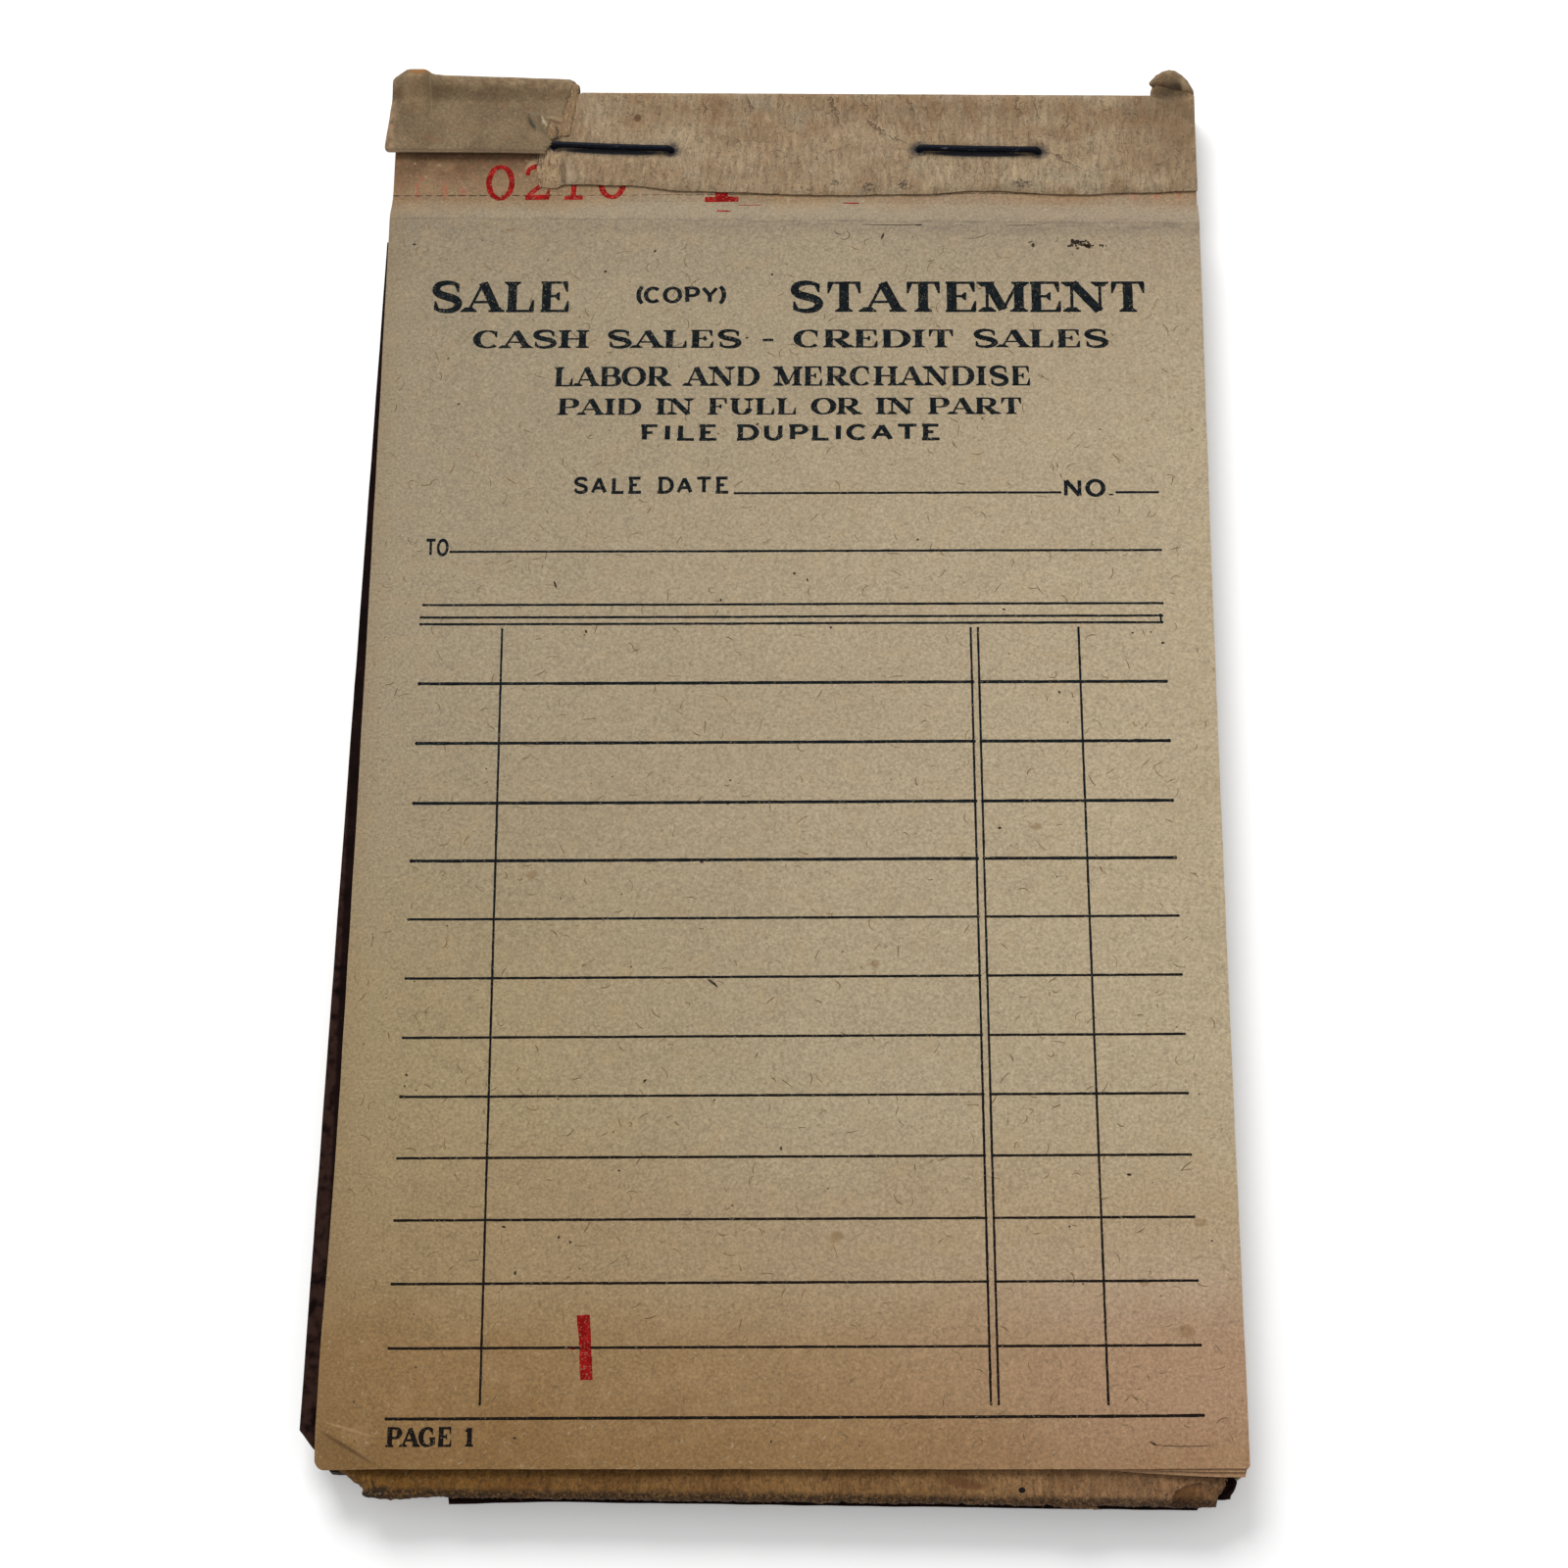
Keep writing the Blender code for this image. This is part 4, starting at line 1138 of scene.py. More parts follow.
def make_strip():
    """The strip folded over the head, with its front lap torn to a wavy, fibrous edge."""
    thick = 0.35
    fold = 0.41
    columns = spread(-HALF, -29.0, 26)[:-1] + spread(-29.0, -25.0, 28)[:-1] + spread(-25.0, HALF, 150)
    paths = []
    for x in columns:
        foot = SPINE - front_lap(x)
        torn = smooth(-28.3, -25.6, x)
        path = []
        for share in spread(0, 1, FRONT_ROWS):
            y = foot + (SPINE - fold - foot) * share
            edge = math.exp(-(y - foot) / 0.35)
            here = min(1.0, torn + smooth(69.6, 70.6, y))
            level = STUB_TOP + 0.10 + (STRIP_TOP - STUB_TOP - 0.10) * here
            level += strip_relief(x, y - SLANT * x) + (1 - here) * 0.10 * lumps(x, y, 0.5, 5.0)
            level -= (0.22 + 0.04 * lumps(x, y, 1.4)) * edge - head_rise(x, y)
            depth = (thick - 0.02) * here + 0.06 * (1 - here)
            depth = max(0.05, depth * (1 - 0.62 * edge))
            level = max(level, stub_top(x, y) + 0.02 + depth)
            path.append(((y, level), (y, level - depth)))
        centre = SPINE - fold
        bulge = 0.05 * (1 + lumps(x, 1.0, 5.0))
        crest = STRIP_TOP + head_rise(x, SPINE)
        out = 0.25 * smooth(*FREE_OF_WRAP, x) + 0.02 * lumps(x, 4.0, 1.2)
        for angle in (72, 54, 36, 18, 0):
            c, s = aim(angle)
            path.append(((centre + out + fold * c, crest - fold + fold * s),
                         (centre + out + (fold - thick) * c, crest - fold + (fold - thick) * s)))
        for share in (0.15, 0.32, 0.5, 0.68, 0.85):
            z = STRIP_TOP - fold - (STRIP_TOP - 2 * fold) * share
            out = bulge * math.sin(math.pi * share) + 0.02 * lumps(x, z, 0.8)
            path.append(((SPINE + out, z), (SPINE + out - thick, z)))
        for angle in (0, -18, -36, -54, -72, -90):
            c, s = aim(angle)
            path.append(((centre + fold * c, fold + fold * s),
                         (centre + (fold - thick) * c, fold + (fold - thick) * s)))
        back = HEAD - 8.94 + 0.05 * lumps(x, 21.0, 1.2)
        for share in spread(0, 1, 34)[1:]:
            y = centre + (back - centre) * share
            press = press_of_clinch(x, y - SLANT * x) * CLINCH_PRESS
            path.append(((y, press), (y, thick + press)))
        paths.append(path)
    rows = []
    for index in range(len(paths[0])):
        row = []
        for x, path in zip(columns, paths):
            (top_y, top_z), (low_y, low_z) = path[index]
            ragged = 0.55 * lumps(1.0, top_y, 0.8) * hump(x, -28.1, 0.7) if index < FRONT_ROWS else 0.0
            place_x, slant = x + ragged, SLANT * x
            row.append((Vector((place_x, top_y - slant, top_z)), Vector((place_x, low_y - slant, low_z))))
        rows.append(row)
    piece = add_sheet("binding_strip_worn", *split_faces(rows), "strip", "binding", 60)
    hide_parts("binding_strip")


# The left remnant's torn right edge: places along the pad and across it
WRAP_EDGE = [(69.4, -27.6), (70.6, -27.2), (71.7, -26.7), (72.2, -24.9), (74.4, -24.6), (75.9, -24.3)]
WRAP_EDGE += [(77.4, -24.0), (90.0, -24.0)]
# Dents and ridges round its tear: start, end, height and half width
WRAP_DENTS = [
    ((-29.4, 75.2), (-28.5, 73.3), -0.16, 0.6), ((-28.0, 75.3), (-25.6, 74.8), 0.08, 0.3),
    ((-26.4, 74.2), (-26.2, 72.5), -0.16, 0.2), ((-28.2, 75.3), (-27.6, 73.9), 0.06, 0.25),
]


def wrap_right(y):
    """The torn right edge of the left remnant, by its place along the pad."""
    edge = WRAP_EDGE[0][1]
    for (low, first), (high, second) in zip(WRAP_EDGE, WRAP_EDGE[1:]):
        if low <= y <= high:
            edge = first + (second - first) * (y - low) / (high - low)
    return edge + 0.12 * lumps(2.0, y, 0.7) + 0.08 * lumps(5.0, y, 0.25)


def wrap_relief(x, y, z):
    """The left remnant's dent, torn ply, crease and unevenness, as a height along its face's normal."""
    ply_width = 1.0 if y > 74.3 else 2.0 * smooth(71.7, 72.2, y)
    ply = smooth(ply_width + 0.15, ply_width - 0.15, wrap_right(y) - x + 0.2 * lumps(x, y, 0.6))
    rise = 0.03 * lumps(x, y, 2.5, z * 0.3) + 0.012 * lumps(x, y, 0.6, z) - 0.07 * ply
    rise += 0.08 * ply * lumps(x * 2.2, y * 0.5, 0.8, 3.0)
    place = y - SLANT * x
    for start, end, high, width in WRAP_DENTS:
        away, _ = off_segment(x, place, start, end)
        rise += high * hump(away, 0, width)
    rise -= 0.06 * hump(x, -40.6, 0.3) * smooth(75, 76.5, y)
    rise += 0.07 * hump(x, -39.9, 0.5) * smooth(75, 76.5, y)
    return rise, ply


def make_wrap_left():
    """The left remnant of the outer wrap, bulging over the head, dented and torn at its right."""
    thick = 0.25
    bulge = 1.1
    centre_y, centre_z = SPINE + 1.1, WRAP_TOP - bulge
    out = SPINE + 0.06 + thick
    path = [(y, WRAP_TOP, 0.0) for y in spread(SPINE - 7.8, centre_y, 50)]
    for angle in spread(90, -20, 18)[1:]:
        c, s = aim(angle)
        path.append((centre_y + bulge * c, centre_z + bulge * s, 1.0))
    last_y, last_z, _ = path[-1]
    for share in (0.25, 0.5, 0.75, 1.0):
        path.append((last_y + (out - last_y) * smooth(0, 1, share), last_z + (1.5 - last_z) * share, 1.0))
    path.append((out, 1.1, 1.0))
    path.append((out, 0.7, 1.0))
    rows = []
    for index, (y, z, over) in enumerate(path):
        before, after = neighbours(path, index)
        along = Vector((after[0] - before[0], after[1] - before[1])).normalized()
        normal = Vector((-along.y, along.x))
        if normal.x * (y - centre_y) + normal.y * (z - centre_z) < 0:
            normal = -normal
        row = []
        for share in spread(0, 0.6, 32)[:-1] + spread(0.6, 1, 56):
            left = -HALF - 1.05 + 0.09 * min(max(y - 70.4, 0), 9.0) + 0.95 * smooth(78.2, 79.9, y)
            round_foot = min(max(70.5 - y, 0.0) / 0.75, 0.95)
            left += 0.7 * (1 - math.sqrt(1 - round_foot ** 2)) + 0.04 * lumps(y, z, 1.5)
            x = left + (wrap_right(y) - left) * share
            rise, ply = wrap_relief(x, y, z)
            rise -= 0.10 * smooth(-33, -28, x) * smooth(73.5, 70, y)
            edge = math.exp(-max(wrap_right(y) - x, 0) / 0.3)
            rise -= 0.16 * edge * (1 - over * 0.5) + 0.6 * smooth(-25.2, -24.0, x) ** 2 * over
            upright = smooth(centre_z - 0.6, WRAP_TOP, z)
            head = smooth(centre_y - 2.4, centre_y - 0.2, y) * upright
            roll = (1.18 - 0.056 * (max(x, -40.0) + 40.0) + 0.10 * smooth(-43.2, -44.0, x)) * head
            beside = max(x + 41.85, -0.72 * (x + 41.85))
            roll += 1.18 * smooth(1.75, 0.75, beside) * smooth(centre_y - 5.6, centre_y - 0.2, y) * upright
            px, py, pz = x, y + normal.x * rise, z + normal.y * rise + roll
            foot = math.exp(-(y - path[0][0]) / 0.3) if over == 0 else 0.0
            depth = thick * (1 - 0.5 * foot - 0.65 * edge) * (1 - 0.4 * ply)
            top = Vector((px, py - SLANT * px, pz))
            row.append((top, top - Vector((0, normal.x, normal.y)) * depth))
        rows.append(row)
    piece = add_sheet("wrap_left_worn", *split_faces(rows), "wrap", "binding", 60)
    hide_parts("wrap_left")


# The curl at the right: share across from the tip, place across, radius, middle's height, crest and lip.
# The crest and the lip are given as they look from the camera, in the plane of a height between them.
CURL_PLANE = 6.2
SEEN_RISE = 0.63
CURL = [
    (0.00, 39.45, 0.26, 6.00, 77.65, 77.30), (0.12, 40.00, 0.58, 6.05, 78.30, 77.20),
    (0.30, 40.85, 0.95, 6.00, 79.00, 77.05), (0.46, 41.60, 1.10, 5.90, 79.25, 76.85),
    (0.62, 42.35, 1.02, 5.70, 79.10, 76.50), (0.76, 43.05, 0.86, 5.45, 78.60, 76.15),
    (0.88, 43.75, 0.62, 5.10, 77.85, 75.80), (1.00, 44.36, 0.36, 4.85, 76.60, 75.55),
]


def curl_at(share):
    """The curl's measures at a share across, smoothly between the listed ones."""
    for first, second in zip(CURL, CURL[1:]):
        if first[0] <= share <= second[0]:
            part = smooth(first[0], second[0], share) * 0.5
            part += 0.5 * (share - first[0]) / (second[0] - first[0])
            return [a + (b - a) * part for a, b in zip(first[1:], second[1:])]
    return list(CURL[-1][1:])


def make_wrap_corner():
    """The right remnant: a tongue that comes up the spine and curls over the head like a breaking wave."""
    thick = 0.2
    out = SPINE + 0.28 + thick
    slope = math.hypot(1, SEEN_RISE)
    lean = math.atan(SEEN_RISE)
    rows = []
    for share in spread(0, 1, 46):
        x, radius, middle_z, crest, lip = curl_at(share)
        middle_y = crest - SEEN_RISE * (middle_z - CURL_PLANE) - slope * radius
        seen = (lip - middle_y - SEEN_RISE * (middle_z - CURL_PLANE)) / (slope * radius)
        last = lean + math.acos(max(-1.0, min(1.0, seen)))
        base = 40.9 + (HALF - 0.04 - 40.9) * share
        row = []
        for step in range(40):
            along = step / 39
            if along < 0.3:
                part = along / 0.3
                y = out - SLANT * x + (middle_y + radius - out + SLANT * x) * smooth(0, 1, part)
                z = 0.7 + (middle_z - 0.7) * part
                here = base + (x - base) * smooth(0.6, 1, part)
                normal = Vector((0, 1, -0.1)).normalized()
            else:
                turn = last * (along - 0.3) / 0.7
                y = middle_y + radius * math.cos(turn)
                z = middle_z + radius * math.sin(turn)
                here = x
                normal = Vector((0, math.cos(turn), math.sin(turn)))
            rough = 0.04 * lumps(here, along * 9, 0.8) + 0.02 * lumps(here, along * 9, 0.3)
            point = Vector((min(here, HALF), y, min(z, CURL_HIGH.z - 0.1))) + normal * rough
            under = normal * min(thick, radius * 0.6) * (1 - 0.4 * smooth(0.9, 1.0, along))
            row.append((point, point - under))
        rows.append(row)
    piece = add_sheet("wrap_corner_curled", *split_faces(rows), "wrap", "binding", 60)
    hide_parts("wrap_corner")


def make_curl_web():
    """The same paper inside the curl: it lies on the strip's corner, then sweeps up under the crest."""
    rows = []
    for share in spread(0, 1, 40):
        x, radius, middle_z, crest, _ = curl_at(min(1.0, 0.22 + 0.78 * share))
        middle_y = crest - SEEN_RISE * (middle_z - CURL_PLANE) - math.hypot(1, SEEN_RISE) * radius
        x = 40.1 + (HALF - 0.03 - 40.1) * share
        glued = 76.2 - 3.4 * share + 0.12 * lumps(x, 3.0, 0.8)
        edge = SPINE - SLANT * x + 0.02
        back_y, back_z = middle_y + radius - 0.22, middle_z + 0.2
        row = []
        for step in range(34):
            along = step / 33
            if along < 0.35:
                part = along / 0.35
                y = glued + (edge - glued) * part
                z = STRIP_TOP - 0.05 + 0.13 * smooth(0, 0.35, part) + head_rise(x, y + SLANT * x)
            else:
                part = (along - 0.35) / 0.65
                turn = part * math.pi / 2
                y = edge + (back_y - edge) * math.sin(turn)
                z = STRIP_TOP + 0.50 + (back_z - STRIP_TOP - 0.50) * (1 - math.cos(turn))
            rough = 0.025 * lumps(x, along * 9, 0.7) + 0.015 * lumps(x, along * 9, 0.25)
            flared = x - 0.5 * (1 - share) * smooth(0.8, 0.4, along)
            low_y = y + 0.06 * smooth(0.35, 1, along)
            row.append((Vector((flared, y, z + rough)), Vector((flared, low_y, z + rough - 0.09))))
        rows.append(row)
    piece = add_sheet("wrap_corner_inner", *split_faces(rows), "strip", "binding", 60)


def make_staple(name, centre_x, turn):
    """A staple: one wire, its crown a little bowed, its legs through the pad and clinched at the back."""
    crown = STRIP_TOP + 0.06 + WIRE
    clinch = 0.05 + WIRE
    bend = 0.5
    half = CROWN_HALF
    side = [(half - CLINCH_RUN, clinch), (half - 3.2, clinch), (half - 1.8, clinch), (half - bend, clinch)]
    inner = half - bend
    side += [(inner + bend * math.sin(a), clinch + bend - bend * math.cos(a)) for a in spread(0.3, 1.57, 5)]
    side += [(half, z) for z in spread(clinch + bend + 0.3, crown - bend - 0.2, 8)]
    side += [(inner + bend * math.cos(a), crown - bend + bend * math.sin(a)) for a in spread(0, 1.57, 6)]
    places = spread(half - 1, -half + 1, 44)
    crown_run = [(x, crown - 0.10 * (1 - (x / half) ** 2) * hump(x, 1.0, 6)) for x in places]
    wire = side + crown_run + [(-x, z) for x, z in reversed(side)]
    sides = 12
    points, faces = [], []
    middle_x, middle_y = staple_centre(centre_x)
    for index, (x, z) in enumerate(wire):
        before, after = neighbours(wire, index)
        along = Vector((after[0] - before[0], 0, after[1] - before[1])).normalized()
        across = Vector((0, 1, 0))
        up = along.cross(across)
        for step in range(sides):
            angle = 2 * math.pi * step / sides
            radius = WIRE * (1 - 0.03 - 0.03 * lumps(x + step, z * 3 + index * 0.1, 0.7))
            local = Vector((x, 0, z)) + (across * math.cos(angle) + up * math.sin(angle)) * radius
            turned = Matrix.Rotation(math.radians(turn), 3, "Z") @ local
            points.append(turned + Vector((middle_x, middle_y, 0)))
    for ring in range(len(wire) - 1):
        for step in range(sides):
            a, b = ring * sides + step, ring * sides + (step + 1) % sides
            faces.append((a, b, b + sides, a + sides))
    faces.append(tuple(reversed(range(sides))))
    faces.append(tuple(range((len(wire) - 1) * sides, len(wire) * sides)))
    piece = add_piece(f"{name}_wire", points, faces, "wire", "binding", 50)
    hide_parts(name)


# Torn fibres

def make_fibres(name, roots, finish, body, seed, longest, radius):
    """Loose fibres that stand off a torn edge. A root is a place, a main direction and a spread."""
    draw = random.Random(seed)
    points, faces = [], []
    for place, direction, loose in roots:
        length = longest * (0.25 + 0.75 * draw.random() ** 2)
        heading = Vector(direction).normalized()
        heading += Vector([draw.uniform(-loose, loose) * part for part in (1.0, 1.0, 0.45)])
        heading.normalize()
        bend = Vector([draw.uniform(-0.5, 0.5) for _ in range(3)])
        start = len(points)
        rings = 5
        thick = radius * draw.uniform(0.5, 1.1)
        here = Vector(place) - heading * 0.08
        for ring in range(rings):
            side = heading.orthogonal().normalized()
            other = heading.cross(side)
            taper = thick * (1 - 0.85 * ring / (rings - 1))
            for step in range(3):
                angle = 2 * math.pi * step / 3
                points.append(here + (side * math.cos(angle) + other * math.sin(angle)) * taper)
            here = here + heading * length / (rings - 1)
            heading = (heading + bend * 0.35).normalized()
        for ring in range(rings - 1):
            for step in range(3):
                a = start + ring * 3 + step
                b = start + ring * 3 + (step + 1) % 3
                faces.append((a, b, b + 3, a + 3))
        faces.append((start + 2, start + 1, start))
        last = start + (rings - 1) * 3
        faces.append((last, last + 1, last + 2))
    add_piece(name, points, faces, finish, body, 60)


def strip_fibres():
    """Roots along the strip's torn foot edge and its torn left end."""
    draw = random.Random(11)
    roots = []
    for _ in range(260):
        x = draw.uniform(-25.5, HALF - 0.3)
        y = SPINE - front_lap(x) + 0.22
        roots.append(((x, y - SLANT * x, STRIP_TOP - draw.uniform(0.12, 0.24)), (0.3, -1, -0.15), 0.8))
    for _ in range(240):
        x = draw.uniform(-28.3, -25.7)
        y = draw.uniform(66.0, 70.6)
        z = STUB_TOP + 0.12 + 0.30 * smooth(-28.3, -25.6, x)
        roots.append(((x, y, z), (-0.6, -0.5, 0.35), 0.9))
    return roots


def board_fibres():
    """Roots along the board's crushed foot edge and worn corners, thicker at its shreds."""
    draw = random.Random(23)
    roots = []
    for _ in range(900):
        x = draw.uniform(-BOARD_HALF + 0.3, BOARD_HALF - 0.3)
        if draw.random() < 0.25:
            x = draw.gauss(27.0, 1.6)
        px, py = askew(x, board_foot(x) + draw.uniform(0.0, 0.5), BOARD_SHIFT)
        z = BOARD_HIGH.z - draw.uniform(0.15, 0.7)
        roots.append(((px, py, z), (draw.uniform(-1, 1), -0.25, 0.15), 0.8))
    return roots


def make_shred():
    """The shred of torn board that hangs from its foot edge."""
    rows = []
    for across in spread(-1, 1, 9):
        row = []
        for along in spread(0, 1, 26):
            ragged = 1 + 0.5 * lumps(along * 5, across * 1.5, 0.6)
            wide = 1.15 * (1 - along) ** 0.8 * ragged + 0.04
            x = 25.9 + 4.5 * along + 0.10 * lumps(along * 6, across, 0.5)
            y = -80.00 - 0.72 * along + across * wide * 0.5 * (0.5 if across > 0 else 1.0)
            z = 4.52 - 0.42 * along + 0.08 * lumps(x, y, 0.35)
            deep = 0.10 + 0.25 * (1 - along) * (1 - across * across)
            row.append((Vector((x, y, z)), Vector((x, y, z - deep))))
        rows.append(row)
    add_sheet("board_shred", *split_faces(rows), "board", "board", 50)


def wrap_fibres():
    """Roots along the left remnant's tear."""
    draw = random.Random(31)
    roots = []
    for _ in range(220):
        y = draw.uniform(70.6, 78.5)
        x = wrap_right(y) - draw.uniform(0, 1.6)
        roots.append(((x, y - SLANT * x, WRAP_TOP - 0.1), (0.8, -0.2, 0.25), 0.8))
    return roots


# Printing

def bow(centre_x, centre_y, wide, tall, start, end):
    """Points round part of an oval, its angles in degrees."""
    steps = max(6, round(abs(end - start) / 15))
    angles = [math.radians(a) for a in spread(start, end, steps + 1)]
    return [(centre_x + wide * math.cos(a), centre_y + tall * math.sin(a)) for a in angles]


def letter(advance, thick=(), thin=(), pen=(), feet=(), arms=(), swell=()):
    """The strokes of a letter of height 1. Feet are slab serifs, arms the beaks at a thin stroke's end."""
    return {"advance": advance, "thick": thick, "thin": thin, "pen": pen,
            "feet": feet, "arms": arms, "swell": swell}


STEM = [(.22, 0), (.22, 1)]
S_LINE = [(.80, .80), (.74, .94), (.48, 1.0), (.22, .93), (.14, .75), (.24, .60), (.47, .51)]
S_LINE += [(.72, .41), (.82, .25), (.72, .07), (.46, 0), (.20, .06), (.12, .20)]
TWO_LINE = [(.14, .72), (.20, .92), (.44, 1.0), (.70, .92), (.76, .72), (.66, .50), (.36, .24), (.12, .02)]

LETTERS = {
    "A": letter(1.06, thick=[[(.50, 1), (.93, 0)]], thin=[[(.09, 0), (.50, 1)], [(.22, .32), (.80, .32)]],
                feet=[(.09, 0), (.93, 0)]),
    "B": letter(.98, thick=[STEM],
                thin=[[(.05, 1), (.56, 1)], [(.22, .53), (.58, .53)], [(.05, 0), (.60, 0)]],
                pen=[bow(.55, .765, .26, .235, 90, -90), bow(.60, .265, .30, .265, 90, -90)]),
    "C": letter(1.02, pen=[bow(.53, .5, .43, .5, 46, 314)], arms=[(.86, .98, -.34)]),
    "D": letter(1.08, thick=[STEM], thin=[[(.05, 1), (.52, 1)], [(.05, 0), (.52, 0)]],
                pen=[bow(.52, .5, .46, .5, 90, -90)]),
    "E": letter(.96, thick=[STEM],
                thin=[[(.05, 1), (.84, 1)], [(.22, .52), (.60, .52)], [(.05, 0), (.88, 0)]],
                arms=[(.84, 1, -.30), (.60, .52, -.13), (.60, .52, .13), (.88, 0, .32)]),
    "F": letter(.92, thick=[STEM], thin=[[(.05, 1), (.84, 1)], [(.22, .50), (.60, .50)]],
                feet=[(.22, 0)], arms=[(.84, 1, -.32), (.60, .50, -.13), (.60, .50, .13)]),
    "G": letter(1.12, thick=[[(.86, .05), (.86, .42)]], thin=[[(.66, .42), (1.02, .42)]],
                pen=[bow(.53, .5, .43, .5, 46, 318)], arms=[(.86, .98, -.32)]),
    "H": letter(1.14, thick=[STEM, [(.90, 0), (.90, 1)]], thin=[[(.22, .51), (.90, .51)]],
                feet=[(.22, 0), (.22, 1), (.90, 0), (.90, 1)]),
    "I": letter(.52, thick=[[(.26, 0), (.26, 1)]], feet=[(.26, 0), (.26, 1)]),
    "L": letter(.92, thick=[STEM], thin=[[(.05, 0), (.86, 0)]], feet=[(.22, 1)],
                arms=[(.86, 0, .36)]),
    "M": letter(1.26, thick=[[(.20, 1), (.62, .05)], [(1.06, 0), (1.06, 1)]],
                thin=[[(.18, 0), (.18, 1)], [(.62, .05), (1.04, 1)]],
                feet=[(.18, 0), (1.06, 0), (.14, 1), (1.10, 1)]),
    "N": letter(1.16, thick=[[(.20, 1), (.94, 0)]], thin=[[(.18, 0), (.18, 1)], [(.96, 0), (.96, 1)]],
                feet=[(.18, 0), (.96, 1), (.14, 1)]),
    "O": letter(1.08, pen=[bow(.54, .5, .45, .5, 0, 360)]),
    "P": letter(.94, thick=[STEM], thin=[[(.05, 1), (.56, 1)], [(.22, .45), (.56, .45)]],
                pen=[bow(.55, .725, .29, .275, 90, -90)], feet=[(.22, 0)]),
    "R": letter(1.08, thick=[STEM, [(.52, .47), (.90, 0)]],
                thin=[[(.05, 1), (.56, 1)], [(.22, .47), (.56, .47)]],
                pen=[bow(.55, .735, .29, .265, 90, -90)], feet=[(.22, 0), (.94, 0)]),
    "S": letter(.94, swell=[S_LINE], arms=[(.81, .97, -.28), (.12, .03, .28)]),
    "T": letter(1.02, thick=[[(.51, 0), (.51, 1)]], thin=[[(.06, 1), (.96, 1)]], feet=[(.51, 0)],
                arms=[(.07, 1, -.34), (.95, 1, -.34)]),
    "U": letter(1.12, thick=[[(.24, .36), (.24, 1)]], thin=[[(.90, .36), (.90, 1)]],
                pen=[bow(.57, .36, .33, .36, 180, 360)], feet=[(.24, 1), (.90, 1)]),
    "Y": letter(1.00, thick=[[(.10, 1), (.50, .45)], [(.50, 0), (.50, .45)]], thin=[[(.50, .45), (.90, 1)]],
                feet=[(.50, 0), (.10, 1), (.90, 1)]),
    "0": letter(.90, pen=[bow(.45, .5, .34, .5, 0, 360)]),
    "1": letter(.84, thick=[[(.42, 0), (.42, 1)]], thin=[[(.16, .80), (.40, .98)]], feet=[(.42, 0)]),
    "2": letter(.90, swell=[TWO_LINE], thick=[[(.10, .03), (.80, .03)]], arms=[(.80, 0, .26)]),
    "-": letter(.60, pen=[[(.10, .42), (.50, .42)]],
                thin=[[(.10, .46), (.50, .46)], [(.10, .38), (.50, .38)]]),
    "(": letter(.46, pen=[bow(.66, .5, .42, .66, 115, 245)]),
    ")": letter(.46, pen=[bow(-.20, .5, .42, .66, 65, -65)]),
    ".": letter(.34, thick=[[(.17, 0), (.17, .10)]]),
    " ": letter(.55),
}

SERIF = {"thick": .27, "thin": .085, "slab": .07, "reach": .11, "wedge": .10}
BOLD_SERIF = {"thick": .32, "thin": .14, "slab": .12, "reach": .10, "wedge": .04}
TYPED = {"thick": .16, "thin": .12, "slab": .13, "reach": .19, "wedge": .0}
STAMPED = {"thick": .30, "thin": .16, "slab": .16, "reach": .26, "wedge": .0}
PLAIN_BOLD = {"thick": .25, "thin": .21, "slab": 0, "reach": 0, "wedge": 0}


def smooth_line(points, cuts=4):
    """More points along a line, on a smooth curve through its own."""
    line = []
    count = len(points)
    for i in range(count - 1):
        a, b, c, d = (points[max(i - 1, 0)], points[i], points[i + 1], points[min(i + 2, count - 1)])
        for cut in range(cuts):
            t = cut / cuts
            line.append(tuple(
                0.5 * (2 * q + (r - p) * t + (2 * p - 5 * q + 4 * r - s) * t * t
                       + (3 * q - p - 3 * r + s) * t ** 3)
                for p, q, r, s in zip(a, b, c, d)
            ))
    return line + [points[-1]]


def ribbon(points, widths):
    """Quads along a line of given widths, which share their ends."""
    sides = []
    for index, point in enumerate(points):
        before, after = neighbours(points, index)
        if index in (0, len(points) - 1) and points[0] == points[-1]:
            before, after = points[-2], points[1]
        run = Vector((after[0] - before[0], after[1] - before[1])).normalized()
        half = widths[index] / 2
        sides.append(((point[0] - run.y * half, point[1] + run.x * half),
                      (point[0] + run.y * half, point[1] - run.x * half)))
    return [[a[0], a[1], b[1], b[0]] for a, b in zip(sides, sides[1:])]


